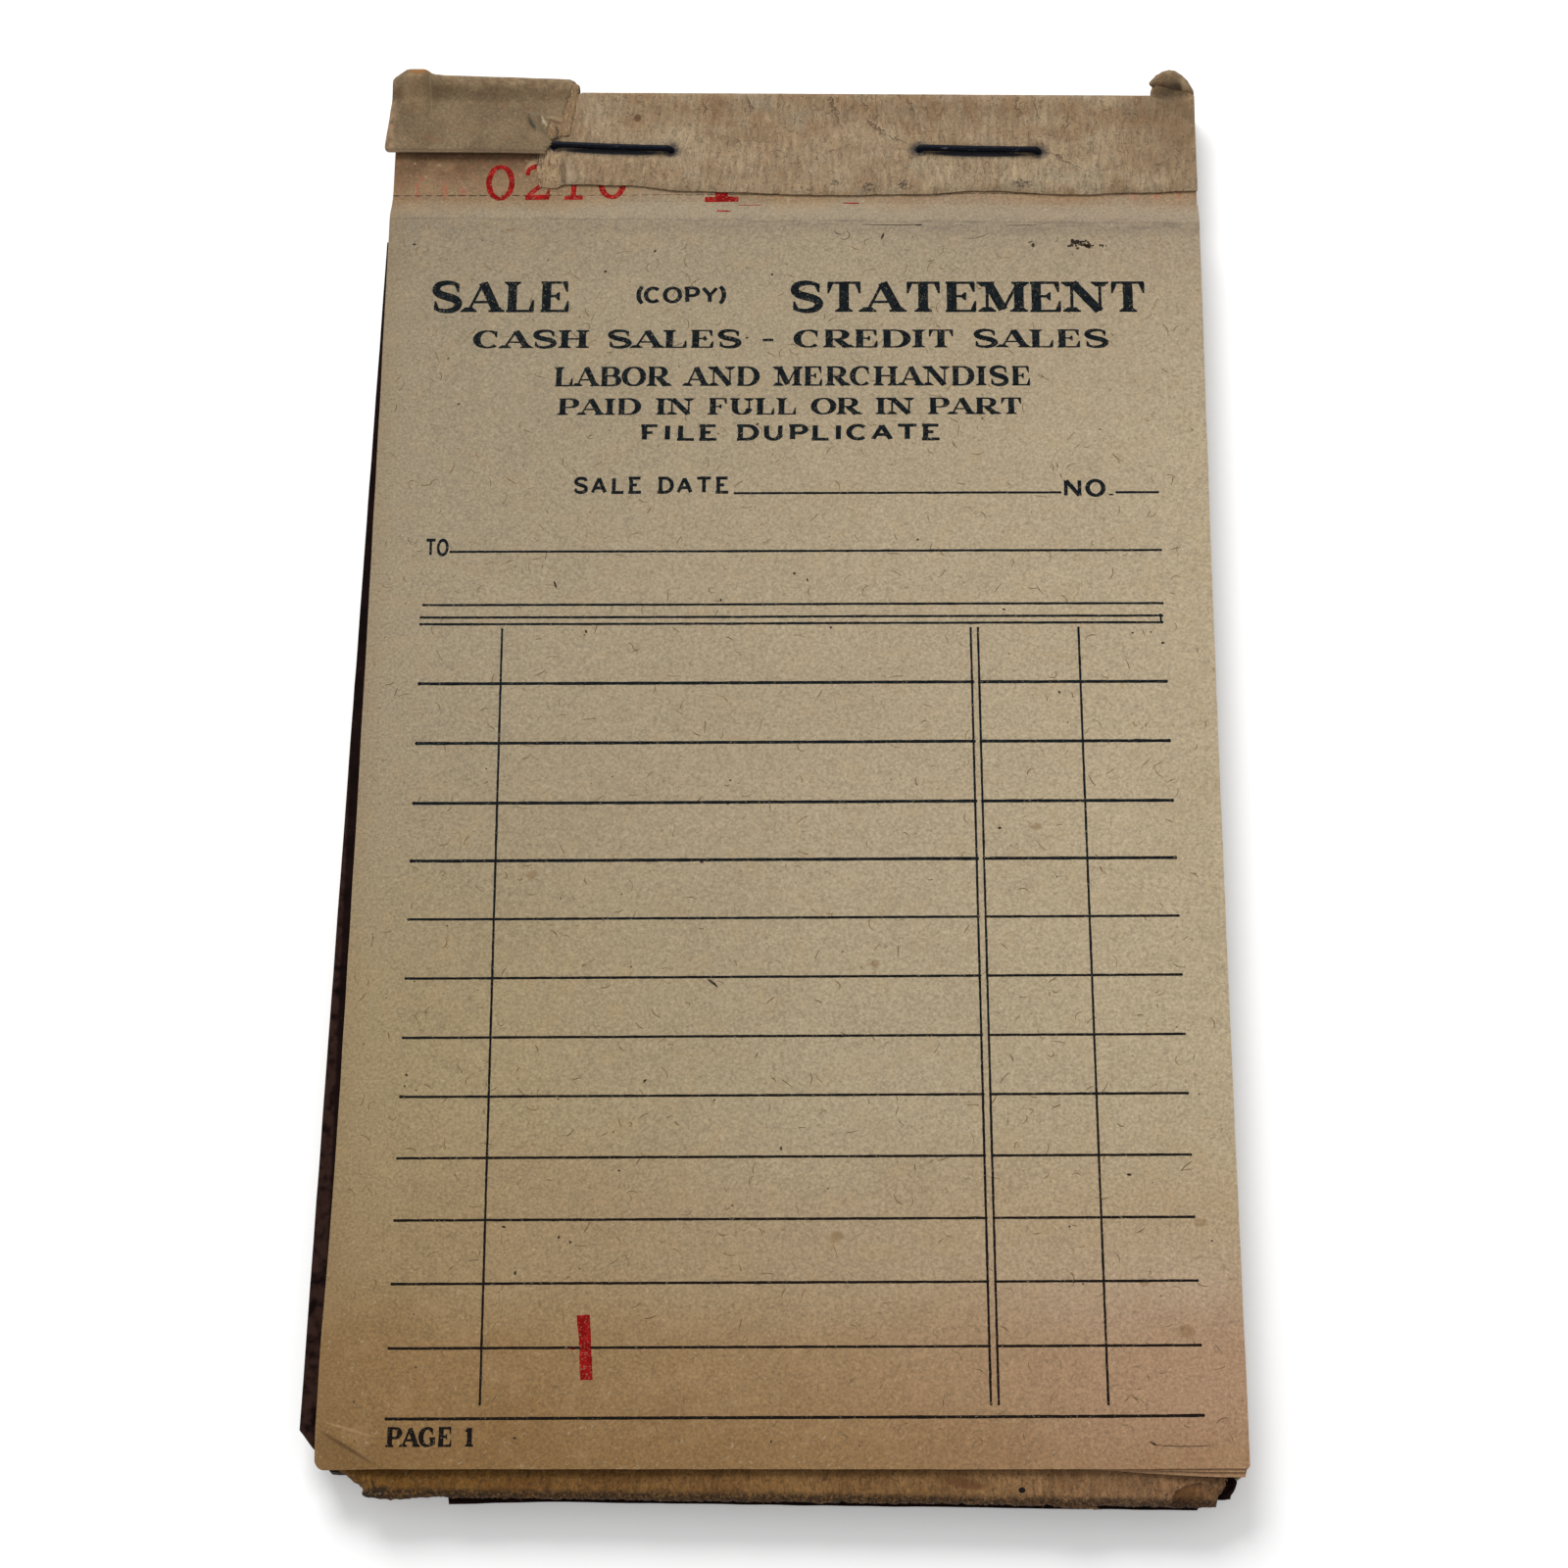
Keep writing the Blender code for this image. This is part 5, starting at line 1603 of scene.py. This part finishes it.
def letter_shapes(sign, face):
    """The shapes of one letter in a face, with its height as 1."""
    strokes = LETTERS[sign]
    thick, thin = face["thick"], face["thin"]
    shapes = []
    for kind, width in (("thick", thick), ("thin", thin)):
        for line in strokes[kind]:
            shapes += ribbon(line, [width] * len(line))
    for line in strokes["pen"]:
        widths = []
        for index in range(len(line)):
            before, after = neighbours(line, index)
            run = Vector((after[0] - before[0], after[1] - before[1])).normalized()
            widths.append(thin + (thick * 1.08 - thin) * abs(run.y) ** 1.6)
        shapes += ribbon(line, widths)
    for line in strokes["swell"]:
        curve = smooth_line(line)
        last = len(curve) - 1
        swells = [math.sin(math.pi * i / last) ** 1.3 for i in range(last + 1)]
        shapes += ribbon(curve, [thin + (thick - thin) * swell for swell in swells])
    slab, reach, wedge = face["slab"], face["reach"], face["wedge"]
    if slab:
        for x, y in strokes["feet"]:
            wide = thick / 2 + reach
            shapes += ribbon([(x - wide, y), (x + wide, y)], [slab, slab])
            inner = y + math.copysign(slab / 2 + wedge, 0.5 - y)
            narrow = thick * 0.42
            shapes.append([(x - wide, y), (x + wide, y), (x + narrow, inner), (x - narrow, inner)])
        for x, y, drop in strokes["arms"]:
            inner = x - math.copysign(0.15, x - 0.5)
            outer = x + math.copysign(0.02, x - 0.5)
            tip = x - math.copysign(0.03, x - 0.5)
            shapes.append([(inner, y), (outer, y), (outer, y + drop * 1.1), (tip, y + drop * 1.1)])
    return [[(x, thin / 2 + y * (1 - thin)) for x, y in shape] for shape in shapes]


def form_tilt(y):
    """The slope of the form's lines, which lean a little as the sheet was fed."""
    return -0.0083 * (y + 25) / 49 if y > -25 else 0.0033 * (-25 - y) / 45


def set_line(words, left, right, baseline, height, face, tracking):
    """A line of letters that fills a width on the form, each a group of shapes."""
    advances = [LETTERS[sign]["advance"] for sign in words]
    gaps = tracking * height * (len(words) - 1)
    stretch = (right - left - gaps) / (sum(advances) * height)
    letters = []
    x = left
    for sign, advance in zip(words, advances):
        shapes = []
        for shape in letter_shapes(sign, face):
            placed = [(x + px * height * stretch, baseline + py * height) for px, py in shape]
            shapes.append([(px, py + form_tilt(baseline) * px) for px, py in placed])
        if shapes:
            letters.append(shapes)
        x += advance * height * stretch + tracking * height
    return letters


def refined(shape, reach):
    """A shape's outline with points at most reach apart, going anticlockwise."""
    turn = sum(a[0] * b[1] - b[0] * a[1] for a, b in zip(shape, shape[1:] + shape[:1]))
    if turn < 0:
        shape = shape[::-1]
    outline = []
    for a, b in zip(shape, shape[1:] + shape[:1]):
        cuts = max(1, math.ceil(math.hypot(b[0] - a[0], b[1] - a[1]) / reach))
        outline += [(a[0] + (b[0] - a[0]) * i / cuts, a[1] + (b[1] - a[1]) * i / cuts) for i in range(cuts)]
    return outline


def print_shapes(name, groups, surface, finish, body, reach=0.3, wobble=0.02, proud=0.012, keep=None):
    """Flat shapes on a surface as thin closed bodies that follow it. Those of a group are joined."""
    points, faces = [], []
    for shapes in groups:
        places, loops = [], []
        for shape in shapes:
            outline = refined(shape, reach)
            loops.append(list(range(len(places), len(places) + len(outline))))
            for x, y in outline:
                dx = wobble * lumps(x, y, 0.35, 1.0) + wobble * lumps(x, y, 1.1, 5.0)
                dy = wobble * lumps(x, y, 0.35, 9.0) + wobble * lumps(x, y, 1.1, 13.0)
                places.append(Vector((x + dx, y + dy)))
        flat, _, triangles, _, _, insides = geometry.delaunay_2d_cdt(places, [], loops, 0, 1e-5)
        triangles = [t for t, inside in zip(triangles, insides) if inside]
        if keep:
            triangles = [t for t in triangles if keep(sum((flat[i] for i in t), Vector((0, 0))) / len(t))]
        used = sorted({i for t in triangles for i in t})
        first, count = len(points), len(used)
        index = {old: first + new for new, old in enumerate(used)}
        points += [Vector((flat[i].x, flat[i].y, surface(flat[i].x, flat[i].y) + proud)) for i in used]
        points += [Vector((flat[i].x, flat[i].y, surface(flat[i].x, flat[i].y) - proud)) for i in used]
        walls = {}
        for triangle in triangles:
            t = [index[i] for i in triangle]
            faces.append(tuple(t))
            faces.append(tuple(count + i for i in reversed(t)))
            for a, b in zip(t, t[1:] + t[:1]):
                if (b, a) in walls:
                    del walls[(b, a)]
                else:
                    walls[(a, b)] = True
        faces += [(a, count + a, count + b, b) for a, b in walls]
    return add_piece(name, points, faces, finish, body, 60)


def print_again(piece, name, leaf, body):
    """The same printing on a lower leaf."""
    mesh = piece.data.copy()
    mesh.transform(Matrix.Translation((0, 0, -(leaf - 1) * PITCH * MM)))
    copy = bpy.data.objects.new(name, mesh)
    bpy.context.collection.objects.link(copy)
    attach(copy, body)


def rule(start, end, width):
    """A printed rule, a little heavier at both ends."""
    (ax, ay), (bx, by) = start, end
    length = math.hypot(bx - ax, by - ay)
    cuts = max(2, round(length))
    points = [(ax + (bx - ax) * i / cuts, ay + (by - ay) * i / cuts) for i in range(cuts + 1)]
    widths = [width * (1 + 0.22 * lumps(x, y, 1.6)) for x, y in points]
    shapes = ribbon(points, widths)
    blob = width * 0.62
    angles = spread(0, 2 * math.pi * 7 / 8, 8)
    for x, y in (start, end):
        shapes.append([(x + blob * math.cos(a), y + blob * math.sin(a)) for a in angles])
    return shapes


def across_rule(left, right, y, width):
    """A rule across the form, at its height in the form's middle."""
    return rule((left, y + form_tilt(y) * left), (right, y + form_tilt(y) * right), width)


# The form's rules: their width, those above the rows as left, right and height, and the rows' heights
RULE = 0.26
HEAD_RULES = [(-5.8, 28.6, 27.35), (34.6, 38.9, 27.35), (-35.8, 39.0, 20.48), (-38.4, 39.0, 14.25)]
HEAD_RULES += [(-38.6, 38.9, 12.80), (-38.6, 38.9, 12.02)]
ROWS = [5.2, -1.55, -8.25, -14.6, -20.95, -27.3, -33.6, -39.8, -46.15, -52.5, -58.9, -65.3]


def form_rules():
    """Every straight rule of the form."""
    shapes = []
    for left, right, y in HEAD_RULES:
        shapes += across_rule(left, right, y, RULE)
    shapes += rule((38.75, 12.66), (38.8, 11.88), RULE * 0.8)
    for number, y in enumerate(ROWS):
        share = number / (len(ROWS) - 1)
        drift = (11.8 - y) / 82.7
        heavy = RULE * (1.3 if number < 4 else 1.0)
        shapes += across_rule(-38.4 + 0.4 * share, 19.0 + drift + 0.05, y, heavy)
        shapes += across_rule(19.75 + drift + 0.05, 39.1 + 1.1 * share, y, heavy)
    shapes += across_rule(-37.9, 40.2, -72.2, RULE * 1.15)
    for x in (-30.0, 19.0, 19.75, 30.2):
        top = 11.4 + form_tilt(11.4) * x
        shapes += rule((x, top), (x + 1.05, -70.9), RULE * 0.88)
    return shapes


def blot(x, y, wide, tall, turn, seed):
    """An uneven blot."""
    c, s = aim(turn)
    shape = []
    for a in spread(0, 2 * math.pi * 9 / 10, 10):
        far = 1 + 0.45 * noise.noise(Vector((math.cos(a) * 1.3 + seed, math.sin(a) * 1.3, seed * 0.7)))
        px, py = wide * far * math.cos(a), tall * far * math.sin(a)
        shape.append((x + px * c - py * s, y + px * s + py * c))
    return shape


def curved_hair(x, y, length, width, turn, bend):
    """A thin curved hair."""
    points = []
    for share in spread(-0.5, 0.5, 6):
        angle = math.radians(turn) + bend * share
        points.append((x + length * share * math.cos(angle), y + length * share * math.sin(angle)))
    widths = [width * (0.45 + 0.55 * math.cos(share * 2.6)) for share in spread(-0.5, 0.5, 6)]
    return ribbon(points, widths)


# The form's plain words: left, right, baseline, height, face and tracking
HEADINGS = [
    ("SALE", -39.3, -24.0, 49.45, 3.9, SERIF, 0.10), ("(COPY)", -17.1, -6.9, 50.5, 2.2, PLAIN_BOLD, 0.10),
    ("STATEMENT", -0.2, 38.4, 49.4, 3.85, SERIF, 0.06),
    ("CASH SALES - CREDIT SALES", -34.4, 34.2, 45.0, 2.25, SERIF, 0.10),
    ("LABOR AND MERCHANDISE", -25.5, 25.8, 40.3, 2.42, SERIF, 0.10),
    ("PAID IN FULL OR IN PART", -25.0, 24.8, 36.8, 2.05, SERIF, 0.08),
    ("FILE DUPLICATE", -16.1, 16.1, 33.6, 2.1, PLAIN_BOLD, 0.16),
    ("SALE DATE", -23.0, -6.4, 27.25, 2.15, PLAIN_BOLD, 0.16),
    ("NO.", 28.9, 34.3, 26.75, 2.25, PLAIN_BOLD, 0.14), ("TO", -38.5, -36.1, 19.9, 2.2, PLAIN_BOLD, 0.06),
    ("PAGE 1", -37.8, -29.2, -74.95, 2.0, BOLD_SERIF, 0.05),
]


def make_printing():
    """The form's rules, its plain headings, the red numbers and the red bar."""
    rules = print_shapes("form_rules", [form_rules()], leaf_top, "ink", "top_leaf", 0.5, 0.018)
    print_again(rules, "form_rules_2", 2, "second_leaves")
    heading = []
    for line in HEADINGS:
        heading += set_line(*line)
    headings = print_shapes("form_headings", heading, leaf_top, "ink", "top_leaf", 0.16, 0.022)
    print_again(headings, "form_headings_2", 2, "second_leaves")

    def stamped(sign, face, left, foot, wide, tall):
        return [[(left + x * wide, foot + y * tall) for x, y in shape] for shape in letter_shapes(sign, face)]

    number = [stamped(sign, TYPED, -34.15 + 4.15 * i, 64.75, 3.75, 4.7) for i, sign in enumerate("0210")]
    number.append(stamped("1", STAMPED, -9.75, 64.2, 4.5, 4.8))

    def on_stub(place):
        return place.y + SLANT * place.x > PERFORATION

    print_shapes("red_number", number, stub_top, "red_ink", "binding", 0.2, 0.04, keep=on_stub)
    marks = rule((-8.2, 62.75), (-7.0, 62.65), 0.24) + rule((5.7, 63.9), (7.2, 63.8), 0.16)
    marks += rule((-6.0, 63.75), (-3.6, 63.7), 0.09)
    bar = [[(-19.9, -62.1), (-18.6, -62.1), (-18.45, -64.4),
            (-18.15, -68.5), (-19.4, -68.5), (-19.55, -65.2)]]
    bar += [blot(-20.1, -65.4, 0.45, 0.12, 10, 3.0)]
    print_shapes("red_bar", [bar], leaf_top, "red_ink", "top_leaf", 0.25, 0.06)
    dashes = print_shapes("red_dashes", [marks], leaf_top, "red_ink", None, 0.25, 0.04)
    bend_at_perforation(dashes)


def make_perforation():
    """The row of fine slits across the top stub, most of it under the strip, drawn dark as painted shade in
    the slits.
    """
    slits = []
    draw = random.Random(3)
    x = -HALF + 0.1
    while x < HALF - 1.2:
        y = PERFORATION + 1.08 - 0.0114 * x
        long = draw.uniform(0.75, 1.0)
        middle = (x + long / 2, y + draw.uniform(-0.03, 0.03))
        wide = 0.13 if x < -27 else 0.07
        slits.append(ribbon([(x, y), middle, (x + long, y)], [wide / 2, wide, wide / 2]))
        x += 1.2
    print_shapes("perforation_slits", slits, stub_top, "dirt_and_slit_shade", "binding", 0.5, 0.01, 0.006)


# Specks on the top leaf: place, half width, half height and turn
SPECKS = [
    (26.3, 57.5, .20, .24, 0), (26.0, 57.9, .3, .07, 20), (9.9, 58.9, .42, .13, 70),
    (-41.5, 58.6, .16, .14, 0), (-4.8, 46.3, .14, .12, 0), (-24.6, 16.8, .42, .10, -70),
    (22.5, 13.4, .16, .12, 0), (-6.0, 12.0, .7, .12, 0), (-4.0, 12.05, .4, .10, 0),
    (-7.3, -27.9, .7, .13, -40), (13.8, 60.2, .4, .07, 0), (38.9, 9.4, .18, .15, 0),
    (-1.0, 11.95, .3, .08, 0), (35.4, -74.75, .45, .08, -30), (21.7, -11.3, .2, .15, 0),
    (-37.1, 44.2, .12, .1, 0),
]
# Groups of fine specks: place, spread and number
SPECK_GROUPS = [(31.0, 57.8, 0.34, 34), (32.1, 57.3, 0.28, 26), (33.9, 57.3, 0.18, 7), (31.5, 57.6, 0.6, 14)]
# Scratches: place, length, width, turn and bend
SCRATCHES = [
    (10.9, 60.25, 6.6, 0.09, -1, 0.05), (6.2, 58.8, 1.7, 0.09, 60, 1.6), (4.9, 59.3, 0.9, 0.07, -30, 0.8),
    (38.1, -75.05, 5.4, 0.08, -1, 0.1), (25.1, 60.0, 3.4, 0.06, 0, 0.05), (20.5, 58.6, 2.6, 0.06, 18, 0.4),
]


def make_marks():
    """Specks, loose hairs and scratches in the top leaf's face."""
    draw = random.Random(7)
    specks = [[blot(*speck, index * 1.3)] for index, speck in enumerate(SPECKS)]
    for x, y, wide, count in SPECK_GROUPS:
        for index in range(count):
            px, py = draw.gauss(x, wide), draw.gauss(y, wide * 0.5)
            size = draw.uniform(0.05, 0.15)
            specks.append([blot(px, py, size * 1.3, size, draw.uniform(0, 180), index * 1.7)])
    for index in range(150):
        x, y = draw.uniform(-43, 43), draw.uniform(-75, 60)
        size = 0.05 + 0.09 * draw.random() ** 3
        specks.append([blot(x, y, size * draw.uniform(1, 1.8), size, draw.uniform(0, 180), index * 0.7 + 50)])
    print_shapes("leaf_specks", specks, leaf_top, "dirt_and_slit_shade", "top_leaf", 0.3, 0.0, 0.008)
    hairs = []
    for index in range(700):
        x, y = draw.uniform(-43, 43), draw.uniform(-75, 59)
        bend = draw.uniform(-0.9, 0.9) if index % 12 else draw.uniform(-2.6, 2.6)
        length, wide, turn = draw.uniform(0.5, 1.5), draw.uniform(0.07, 0.12), draw.uniform(0, 180)
        hairs.append(curved_hair(x, y, length, wide, turn, bend))
    print_shapes("leaf_hairs", hairs, leaf_top, "hair", "top_leaf", 0.4, 0.0, 0.006)
    lines = [curved_hair(*scratch) for scratch in SCRATCHES]
    print_shapes("leaf_scratches", lines, leaf_top, "dirt_and_slit_shade", "top_leaf", 0.4, 0.01, 0.008)


# Stage

CAMERA_PLACE = Vector((14.796, -158.959, 359.045))
CAMERA_AHEAD = Vector((-0.03915323, 0.3960226, -0.91740565))
CAMERA_UP = Vector((0.00720064, 0.91819762, 0.39605717))
CAMERA_LENS = 86.35
# The rays to which the table and the surroundings look white
SEEN_RAYS = ("Is Camera Ray", "Is Glossy Ray", "Is Transmission Ray")


def make_camera():
    """The photograph's view: 23 degrees from straight down, from the foot of the pad."""
    lens = bpy.data.cameras.new("view")
    lens.lens = CAMERA_LENS
    lens.sensor_width = 36.0
    lens.clip_start = 0.01
    camera = bpy.data.objects.new("view", lens)
    right = CAMERA_AHEAD.cross(CAMERA_UP)
    turn = Matrix((right, CAMERA_UP, -CAMERA_AHEAD)).transposed()
    camera.matrix_world = Matrix.Translation(CAMERA_PLACE * MM) @ turn.to_4x4()
    bpy.context.collection.objects.link(camera)
    bpy.context.scene.camera = camera


def make_floor():
    """A plain pale table top, which the camera and reflections see as white."""
    finish = Finish("floor_pale", 0.9, 0.0)
    finish.set("Base Color", (0.96, 0.96, 0.96, 1.0))
    glow = most_of(finish.node("LightPath", {}, {}, ray) for ray in SEEN_RAYS) * 0.2
    finish.set("Emission Strength", 1.0)
    finish.set("Emission Color", finish.node("CombineColor", {}, {0: glow, 1: glow, 2: glow}))
    half = 3.0
    mesh = bpy.data.meshes.new("floor")
    corners = [(-half, -half, 0), (half, -half, 0), (half, half, 0), (-half, half, 0)]
    mesh.from_pydata([Vector(c) - Vector((0, 0, 0.00002)) for c in corners], [], [(0, 1, 2, 3)])
    mesh.materials.append(finish.material)
    floor = bpy.data.objects.new("floor", mesh)
    bpy.context.collection.objects.link(floor)


def make_world(strength):
    """Even light from all round, white to the camera and in reflections."""
    world = bpy.data.worlds.new("studio")
    world.use_nodes = True
    tree = world.node_tree
    tree.nodes.clear()

    def add(kind, *sources):
        node = tree.nodes.new("ShaderNode" + kind)
        for index, source in enumerate(sources):
            tree.links.new(source, node.inputs[index])
        return node

    path = add("LightPath")
    seen = path.outputs[SEEN_RAYS[0]]
    for ray in SEEN_RAYS[1:]:
        most = add("Math", seen, path.outputs[ray])
        most.operation = "MAXIMUM"
        seen = most.outputs[0]
    plain, white = add("Background"), add("Background")
    plain.inputs["Strength"].default_value = strength
    white.inputs["Strength"].default_value = 1.0
    add("OutputWorld", add("MixShader", seen, plain.outputs[0], white.outputs[0]).outputs[0])
    bpy.context.scene.world = world


def make_lamp(name, place, size, power):
    """A soft box that faces the pad."""
    light = bpy.data.lights.new(name, "AREA")
    light.size = size
    light.energy = power
    lamp = bpy.data.objects.new(name, light)
    lamp.location = place
    lamp.rotation_euler = (-Vector(place)).to_track_quat("-Z", "Y").to_euler()
    bpy.context.collection.objects.link(lamp)


make_camera()
make_floor()
make_world(0.66)
make_lamp("head_light", (-0.25, 0.75, 0.75), 0.55, 8.6)
bpy.context.scene.view_settings.view_transform = "Standard"

make_cover()
for leaf_number in range(ON_BOARD + 1, LEAF_COUNT + 1):
    make_block_leaf(leaf_number)
for stub_number in range(1, LEAF_COUNT + 1):
    make_stub(stub_number)
make_carbon()
make_board()
make_slip(3, "lower_leaf", 61, 60)
make_slip(2, "lower_leaf", 61, 60)
make_slip(1, "leaf", 91, 110)
make_strip()
make_wrap_left()
make_wrap_corner()
make_curl_web()
for staple_name, staple in STAPLES.items():
    make_staple(staple_name, *staple)
make_fibres("strip_fibres", strip_fibres(), "fluff", "binding", 5, 0.62, 0.035)
make_fibres("board_fibres", board_fibres(), "board_fluff", "board", 6, 0.7, 0.035)
make_shred()
make_fibres("wrap_fibres", wrap_fibres(), "fluff", "binding", 8, 0.6, 0.03)
make_printing()
make_perforation()
make_marks()
